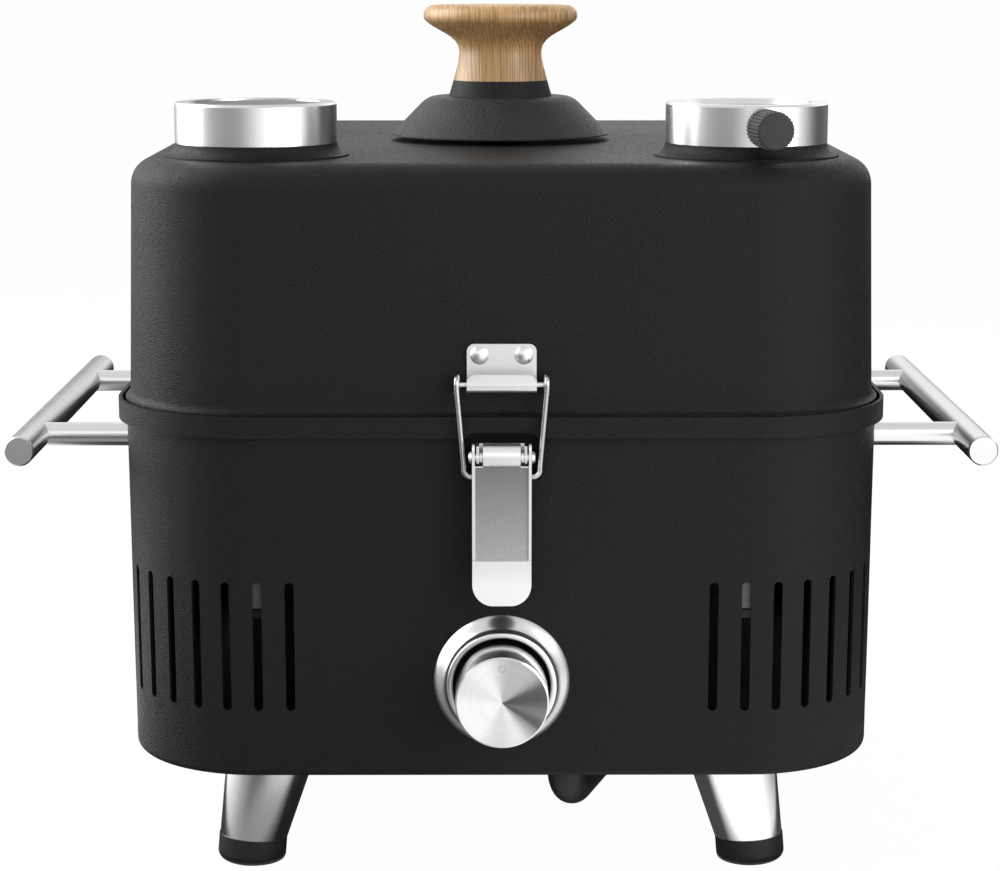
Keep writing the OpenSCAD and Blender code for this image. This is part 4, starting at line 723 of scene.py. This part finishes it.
class GRILL_OT_stage(GrillOperator, bpy.types.Operator):
    """Sets the ground, the lights and the camera"""
    bl_idname = "grill.stage"
    bl_label = "Stage"

    def execute(self, context):
        scene = context.scene
        stage = scene.grill_stage
        scene.view_settings.view_transform = "Standard"
        self.ground(stage)
        self.world(scene)
        self.studio_bowl()
        for row in LAMPS:
            self.soft_lamp(scene, *row)
        self.camera(scene, stage)
        return {"FINISHED"}

    def ground(self, stage):
        """Floor that bends up into a backdrop. Seen directly it is near white and still shows the shadow."""
        material = bpy.data.materials.new("Pale ground")
        tree, surface = bare_tree(material, "ShaderNodeOutputMaterial")
        matt = put(tree, "ShaderNodeBsdfDiffuse", {"Color": rgba(stage.ground_colour)}).outputs[0]
        glow = put(tree, "ShaderNodeEmission", {"Color": WHITE, "Strength": 1.0}).outputs[0]
        share = times(tree, seen_directly(tree), GROUND_GLOW)
        tree.links.new(put(tree, "ShaderNodeMixShader", {0: share, 1: matt, 2: glow}).outputs[0], surface)
        half, flat, bend, rise, steps = 6.0, 3.0, 1.5, 4.0, 12
        profile = [(-half, 0.0), (flat, 0.0)]
        for step in range(1, steps + 1):
            angle = math.radians(90 * step / steps)
            profile.append((flat + bend * math.sin(angle), bend * (1 - math.cos(angle))))
        profile.append((flat + bend, rise))
        verts = [(side * half, y, z) for y, z in profile for side in (-1, 1)]
        faces = [(2 * i, 2 * i + 1, 2 * i + 3, 2 * i + 2) for i in range(len(profile) - 1)]
        mesh = bpy.data.meshes.new("Ground")
        mesh.from_pydata(verts, [], faces)
        mesh.materials.append(material)
        for face in mesh.polygons:
            face.use_smooth = True
        ground = bpy.data.objects.new("Ground", mesh)
        bpy.context.scene.collection.objects.link(ground)

    def world(self, scene):
        """White where it is seen, and dimmer as a light."""
        world = bpy.data.worlds.new("Studio")
        tree, surface = bare_tree(world, "ShaderNodeOutputWorld")
        strength = remap(tree, seen_directly(tree), 0, 1, WORLD_LIGHT, 1.0)
        glow = put(tree, "ShaderNodeBackground", {"Color": WHITE, "Strength": strength}).outputs[0]
        tree.links.new(glow, surface)
        scene.world = world

    def panel(self, name, verts, faces, material):
        """A studio panel that only mirrors show."""
        mesh = bpy.data.meshes.new(name)
        mesh.from_pydata(verts, [], faces)
        mesh.materials.append(material)
        made = bpy.data.objects.new(name, mesh)
        bpy.context.scene.collection.objects.link(made)
        for ray in ("camera", "diffuse", "shadow", "volume_scatter"):
            setattr(made, "visible_" + ray, False)

    def studio_bowl(self):
        """Round wall and floor that only mirrors show.

        Their level follows the angle from the front. The wall is white higher up, soonest at the front, and
        dim low at the rear right. The floor is dark behind the object and on a card at the front, and under
        the object it is dark as a painted shadow of the object.
        """
        material = bpy.data.materials.new("Studio bowl")
        tree, surface = bare_tree(material, "ShaderNodeOutputMaterial")
        place = tree.nodes.new("ShaderNodeTexCoord").outputs["Object"]
        across, depth, height = put(tree, "ShaderNodeSeparateXYZ", {0: place}).outputs
        ahead = times(tree, depth, -1.0)
        aside = calc(tree, "ABSOLUTE", across)
        turn = calc(tree, "ARCTAN2", across, ahead)
        level = self.wall_level(tree, turn)
        frontal = fade_out(tree, calc(tree, "ABSOLUTE", turn), LIFT_TURN)
        lifted = times(tree, fade_in(tree, height, LIFT_FRONT), frontal)
        lifted = calc(tree, "MAXIMUM", lifted, fade_in(tree, height, LIFT_SIDES))
        # Painted shadow: under the object the floor is dark in mirrors, as the object's own shadow would make
        # it.
        under = times(tree, fade_out(tree, aside, UNDER_ASIDE), fade_out(tree, ahead, UNDER_AHEAD))
        behind = times(tree, fade_out(tree, ahead, BEHIND_NEAR), fade_in(tree, ahead, BEHIND_FAR))
        card = times(tree, fade_in(tree, across, CARD_LEFT, CARD_SHADE), fade_out(tree, across, CARD_RIGHT))
        card = times(tree, card, fade_in(tree, ahead, CARD_NEAR))
        card = times(tree, card, fade_out(tree, ahead, CARD_FAR))
        dark = calc(tree, "MAXIMUM", calc(tree, "MAXIMUM", under, behind), card)
        floor = fade_out(tree, height, FLOOR_HEIGHT)
        floor_shade = times(tree, times(tree, dark, floor), FLOOR_SHADE)
        low_rear = times(
            tree, fade_in(tree, turn, LOW_REAR_TURN, LOW_REAR_SHADE), fade_out(tree, height, LOW_REAR_HEIGHT))
        open_share = times(
            tree, calc(tree, "SUBTRACT", 1.0, floor_shade), calc(tree, "SUBTRACT", 1.0, low_rear))
        glow = put(tree, "ShaderNodeEmission", {
            "Color": blend_colour(tree, lifted, level, WHITE),
            "Strength": times(tree, open_share, BOWL_STRENGTH)}).outputs[0]
        tree.links.new(glow, surface)
        turns = [math.tau * i / BOWL_SIDES for i in range(BOWL_SIDES)]
        ring = [(BOWL_RADIUS * math.sin(turn), BOWL_RADIUS * math.cos(turn)) for turn in turns]
        verts = [(x, y, z) for z in (BOWL_LOW, BOWL_HIGH) for x, y in ring]
        faces = []
        for here in range(BOWL_SIDES):
            after = (here + 1) % BOWL_SIDES
            faces.append((here, after, BOWL_SIDES + after, BOWL_SIDES + here))
        faces.append(tuple(range(BOWL_SIDES)))
        self.panel("Studio_bowl", verts, faces, material)

    def wall_level(self, tree, turn):
        """Level of the studio wall at a turn from the front."""
        ramp = put(tree, "ShaderNodeValToRGB", {0: remap(tree, turn, -math.pi, math.pi, 0.0, 1.0)})
        stops = ramp.color_ramp.elements
        for degrees, level in WALL_LEVELS:
            stops.new((degrees + 180) / 360).color = (level, level, level, 1)
        stops.remove(stops[0])
        stops.remove(stops[-1])
        return ramp.outputs[0]

    def soft_lamp(self, scene, name, place, aim, size, power, mirrored):
        """Rectangular lamp that points at its aim."""
        lamp = bpy.data.lights.new(name, "AREA")
        lamp.shape = "RECTANGLE"
        lamp.size, lamp.size_y = size
        lamp.energy = power
        made = bpy.data.objects.new(name, lamp)
        made.location = place
        made.rotation_euler = (Vector(aim) - Vector(place)).to_track_quat("-Z", "Y").to_euler()
        made.visible_glossy = mirrored
        scene.collection.objects.link(made)

    def camera(self, scene, stage):
        """Camera in front of the base's front wall."""
        lens = bpy.data.cameras.new("Camera")
        lens.sensor_fit = "HORIZONTAL"
        lens.sensor_width = 36.0
        lens.lens = stage.focal_length
        lens.clip_start = 0.05
        lens.clip_end = 50.0
        made = bpy.data.objects.new("Camera", lens)
        made.location = (stage.camera_side, WALL_FRONT - stage.camera_reach, stage.camera_height)
        made.rotation_euler = (math.pi / 2 - stage.camera_pitch, 0, -stage.camera_turn)
        scene.collection.objects.link(made)
        scene.camera = made


class GRILL_OT_shells(GrillOperator, bpy.types.Operator):
    """Coats the base, the lid and the knob's skirt"""
    bl_idname = "grill.shells"
    bl_label = "Base and lid"

    def execute(self, context):
        values = finishes()
        coat = textured_coat(
            "Black textured coat", values.coat_colour, values.coat_roughness, values.coat_grain)
        for node in ("base_shell", "lid_shell"):
            skin(node, coat)
        # The skirt's coat is four times paler than the lid's: partly its own paler finish, partly painted
        # light that stands in for light the skirt does not get.
        paler, smoother = 4.0, 0.04
        skirt = textured_coat(
            "Black skirt coat", toned(values.coat_colour, paler), values.coat_roughness - smoother,
            values.coat_grain)
        skin("knob_skirt", skirt)
        return {"FINISHED"}


class GRILL_OT_handles(GrillOperator, bpy.types.Operator):
    """Finishes the carrying handles and their screws"""
    bl_idname = "grill.handles"
    bl_label = "Handles"

    def execute(self, context):
        values = finishes()
        bar = brushed_steel("Handle bar steel", values.steel_colour, roughness=0.24, along=(0, 1, 0))
        post = brushed_steel("Handle post steel", values.steel_colour, roughness=0.24, along=(1, 0, 0))
        for side in ("left", "right"):
            skin("handle_bar_" + side, bar)
            skin("handle_posts_" + side, post)
        skin("case_screws", blasted_steel("Screw steel", toned(values.steel_colour, 0.75), roughness=0.36))
        return {"FINISHED"}


class GRILL_OT_legs(GrillOperator, bpy.types.Operator):
    """Finishes the legs, their feet and their bolts"""
    bl_idname = "grill.legs"
    bl_label = "Legs"

    def execute(self, context):
        values = finishes()
        steel = brushed_steel(
            "Leg steel", toned(values.steel_colour, 1.15), roughness=0.16, along=UP, spread=0.012)
        rubber = moulded("Foot rubber", values.plastic_colour, roughness=0.55, grain=1500.0)
        for corner in ("front_left", "front_right", "rear_left", "rear_right"):
            skin("leg_" + corner, steel)
            skin("foot_" + corner, rubber)
        skin("leg_bolts", rolled_steel("Bolt steel", (0.3, 0.3, 0.31), roughness=0.4))
        return {"FINISHED"}


class GRILL_OT_lid_knob(GrillOperator, bpy.types.Operator):
    """Finishes the wooden lid knob, its collar and its bolt"""
    bl_idname = "grill.lid_knob"
    bl_label = "Lid knob"

    def execute(self, context):
        values = finishes()
        wood = oak("Light oak", values.oak_light, values.oak_dark, box_middle("lid_knob"))
        skin("lid_knob", wood, sharp=math.radians(40))
        skin("knob_collar", moulded(
            "Collar plastic", values.plastic_colour, roughness=0.66, grain=1800.0, shine=0.13))
        skin("knob_bolt", rolled_steel("Knob bolt steel", (0.35, 0.35, 0.36), roughness=0.38))
        return {"FINISHED"}


class GRILL_OT_gas_control(GrillOperator, bpy.types.Operator):
    """Finishes the gas knob, its bezel, stem and valve"""
    bl_idname = "grill.gas_control"
    bl_label = "Gas control"

    def execute(self, context):
        values = finishes()
        middle = box_middle("gas_knob")
        steel = values.steel_colour
        skin("gas_knob", spun_steel("Spun knob steel", steel, middle, AHEAD, roughness=0.14, lean=0.24))
        self.bezel(turned_steel(
            "Bezel steel", steel, middle, AHEAD, roughness=0.24, rings=1800.0, spread=0.005))
        self.mark()
        inner = rolled_steel("Stem steel", (0.4, 0.4, 0.41), roughness=0.34)
        for node in ("valve_stem", "stem_collar"):
            skin(node, inner)
        brass = machined_brass("Valve brass")
        for node in ("gas_valve", "gas_jet", "gas_pipe"):
            skin(node, brass)
        return {"FINISHED"}

    def bezel(self, steel):
        """Conical ring with a crisp foot and a rounded mouth."""
        low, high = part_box("knob_bezel")
        outer, deep = (high.x - low.x) / 2, high.y - low.y
        profile = [(outer - inset * MM, height * MM) for inset, height in BEZEL_FLANK]
        profile += [(outer - inset * MM, deep - back * MM) for inset, back in BEZEL_MOUTH]
        seat = Vector(((low.x + high.x) / 2, high.y, (low.z + high.z) / 2))
        mesh = spun("knob_bezel_ring", profile, seat, AHEAD)
        ring = settle("knob_bezel_ring", mesh, steel, NODE_BODY["knob_bezel"])
        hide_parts("knob_bezel")

    def mark(self):
        """Pale dot that fills the knob's recess."""
        low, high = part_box("gas_knob")
        middle = (low + high) / 2
        reach, rise, thick = 1.96 * MM, 18.7 * MM, 0.34 * MM
        core, bevel, sunk = 0.02 * MM, 0.1 * MM, 0.4 * MM
        seat = Vector((middle.x, low.y + sunk, middle.z + rise))
        profile = [(core, 0.0), (reach, 0.0), (reach, thick - bevel), (reach - bevel, thick), (core, thick)]
        mesh = spun("gas_knob_mark", profile, seat, AHEAD, sides=48)
        enamel = glazed("Mark enamel", (0.3, 0.3, 0.3), roughness=0.6)
        settle("gas_knob_mark", mesh, enamel, NODE_BODY["gas_knob"])


class GRILL_OT_latches(GrillOperator, bpy.types.Operator):
    """Finishes the toggle latches at the front and the rear"""
    bl_idname = "grill.latches"
    bl_label = "Latches"

    def execute(self, context):
        values = finishes()
        rubber = moulded(
            "Latch pad rubber", toned(values.plastic_colour, 0.4), roughness=0.85, grain=1600.0, shine=0.04)
        low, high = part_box("latch_lever_front")
        rail, tongue, roll = 1.4 * MM, 23 * MM, 12.4 * MM
        web = (low + Vector((rail, 0, tongue)), high - Vector((rail, 0, roll)))
        lever = lever_steel("Lever steel", toned(values.steel_colour, 1.1), *web)
        pressed = blasted_steel("Latch steel", values.steel_colour, roughness=0.26, contrast=0.04)
        bright = blasted_steel("Strike steel", values.steel_colour, roughness=0.4, contrast=0.04)
        headed = blasted_steel("Rivet steel", values.steel_colour, roughness=0.34, contrast=0.01)
        wire = brushed_steel(
            "Wire steel", toned(values.steel_colour, 0.66), roughness=0.17, along=UP, lines=1200.0)
        for side in ("front", "rear"):
            skin("latch_pad_" + side, rubber)
            skin("latch_bracket_" + side, pressed)
            skin("latch_lever_" + side, lever)
            skin("strike_" + side, bright)
            skin("bail_" + side, wire)
        for node in ("latch_pins", "strike_rivets", "bail_pins"):
            skin(node, headed)
        return {"FINISHED"}


class GRILL_OT_thermometer(GrillOperator, bpy.types.Operator):
    """Finishes the thermometer and marks its dial"""
    bl_idname = "grill.thermometer"
    bl_label = "Thermometer"

    def execute(self, context):
        values = finishes()
        middle = box_middle("thermometer_cup")
        steel = turned_steel("Thermometer cup steel", values.steel_colour, middle, UP, roughness=0.25)
        skin("thermometer_cup", steel)
        skin("thermometer_dial", glazed("Dial face", (0.6, 0.6, 0.585), roughness=0.45))
        skin("thermometer_lens", clear_glass("Dial glass"))
        black = moulded("Needle black", (0.012, 0.012, 0.012), roughness=0.4, grain=2500.0)
        skin("thermometer_needle", black)
        skin("thermometer_probe", rolled_steel("Probe steel", (0.45, 0.45, 0.46), roughness=0.3))
        self.ticks()
        return {"FINISHED"}

    def ticks(self):
        """Fine and broad marks round the dial's face."""
        values = details()
        low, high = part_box("thermometer_dial")
        middle = (low + high) / 2
        reach = (high.x - low.x) / 2
        ink = moulded("Dial ink", (0.015, 0.015, 0.015), roughness=0.5, grain=2500.0)
        tree = ticks_tree()
        start = -values.dial_sweep / 2
        margin, thickness = 0.0022, 0.00016
        rows = (("fine", values.dial_ticks, 0.0026, 0.0004), ("broad", 9, 0.0046, 0.0009))
        for name, count, length, width in rows:
            mesh = realised("dial_ticks_" + name, tree, {
                "Count": count, "Radius": reach - margin - length / 2, "Start": start,
                "Step": values.dial_sweep / (count - 1), "Mark": (width, length, thickness), "Material": ink})
            mesh.transform(Matrix.Translation((middle.x, middle.y, high.z + thickness / 2)))
            settle("dial_ticks_" + name, mesh, ink, "lid")


class GRILL_OT_vent(GrillOperator, bpy.types.Operator):
    """Finishes the vent, its damper and the ribbed damper knob"""
    bl_idname = "grill.vent"
    bl_label = "Vent"

    def execute(self, context):
        values = finishes()
        middle = box_middle("vent_cup")
        skin("vent_cup", turned_steel("Vent cup steel", values.steel_colour, middle, UP, roughness=0.25))
        skin("damper_flap", rolled_steel("Flap steel", (0.5, 0.5, 0.51), roughness=0.3))
        skin("damper_shaft", rolled_steel("Shaft steel", (0.45, 0.45, 0.46), roughness=0.3))
        skin("damper_knob", moulded(
            "Damper knob plastic", toned(values.plastic_colour, 2.2), roughness=0.5, grain=1700.0))
        return {"FINISHED"}


class GRILL_OT_firebox(GrillOperator, bpy.types.Operator):
    """Finishes the firebox, the burner, the grate and the grease tray"""
    bl_idname = "grill.firebox"
    bl_label = "Firebox"

    def execute(self, context):
        values = finishes()
        skin("firebox", textured_coat("Firebox enamel", values.coat_colour, 0.5, values.coat_grain))
        sheet = rolled_steel("Tray sheet", (0.33, 0.33, 0.335), roughness=0.4)
        for node in ("grease_tray", "tray_rails"):
            skin(node, sheet)
        skin("firebox_brackets", rolled_steel("Stay steel", (0.085, 0.085, 0.087), roughness=0.5))
        skin("burner", rolled_steel("Burner steel", (0.38, 0.36, 0.34), roughness=0.38))
        skin("igniter_insulator", glazed("Igniter ceramic", (0.8, 0.79, 0.76), roughness=0.2))
        skin("igniter_tip", rolled_steel("Electrode steel", (0.42, 0.42, 0.43), roughness=0.35))
        skin("cooking_grate", cast_iron("Seasoned iron"))
        return {"FINISHED"}


class GRILL_OT_gas_inlet(GrillOperator, bpy.types.Operator):
    """Finishes the gas inlet"""
    bl_idname = "grill.gas_inlet"
    bl_label = "Gas inlet"

    def execute(self, context):
        skin("inlet_elbow", moulded("Elbow plastic", finishes().plastic_colour, roughness=0.42, grain=1300.0))
        skin("inlet_fitting", machined_brass("Inlet brass"))
        return {"FINISHED"}


class GRILL_PT_panel(bpy.types.Panel):
    """Lists the grill's pieces in the sidebar"""
    bl_label = "Portable gas grill"
    bl_idname = "GRILL_PT_panel"
    bl_space_type = "VIEW_3D"
    bl_region_type = "UI"
    bl_category = "Grill"

    def draw(self, context):
        for group in ("grill_finishes", "grill_details", "grill_stage"):
            values = getattr(context.scene, group)
            box = self.layout.box()
            for key in values.__annotations__:
                box.prop(values, key)
        for operator in OPERATORS:
            self.layout.operator(operator.bl_idname)


GROUPS = {"grill_finishes": GrillFinishes, "grill_details": GrillDetails, "grill_stage": GrillStage}
OPERATORS = (
    GRILL_OT_stage, GRILL_OT_shells, GRILL_OT_handles, GRILL_OT_legs, GRILL_OT_lid_knob, GRILL_OT_gas_control,
    GRILL_OT_latches, GRILL_OT_thermometer, GRILL_OT_vent, GRILL_OT_firebox, GRILL_OT_gas_inlet,
)


def register():
    for name, group in GROUPS.items():
        bpy.utils.register_class(group)
        setattr(bpy.types.Scene, name, PointerProperty(type=group))
    for operator in OPERATORS:
        bpy.utils.register_class(operator)
    bpy.utils.register_class(GRILL_PT_panel)


def unregister():
    bpy.utils.unregister_class(GRILL_PT_panel)
    for operator in reversed(OPERATORS):
        bpy.utils.unregister_class(operator)
    for name, group in reversed(GROUPS.items()):
        delattr(bpy.types.Scene, name)
        bpy.utils.unregister_class(group)


def main():
    register()
    bpy.ops.grill.stage()
    bpy.ops.grill.shells()
    bpy.ops.grill.handles()
    bpy.ops.grill.legs()
    bpy.ops.grill.lid_knob()
    bpy.ops.grill.gas_control()
    bpy.ops.grill.latches()
    bpy.ops.grill.thermometer()
    bpy.ops.grill.vent()
    bpy.ops.grill.firebox()
    bpy.ops.grill.gas_inlet()


if __name__ == "__main__":
    main()
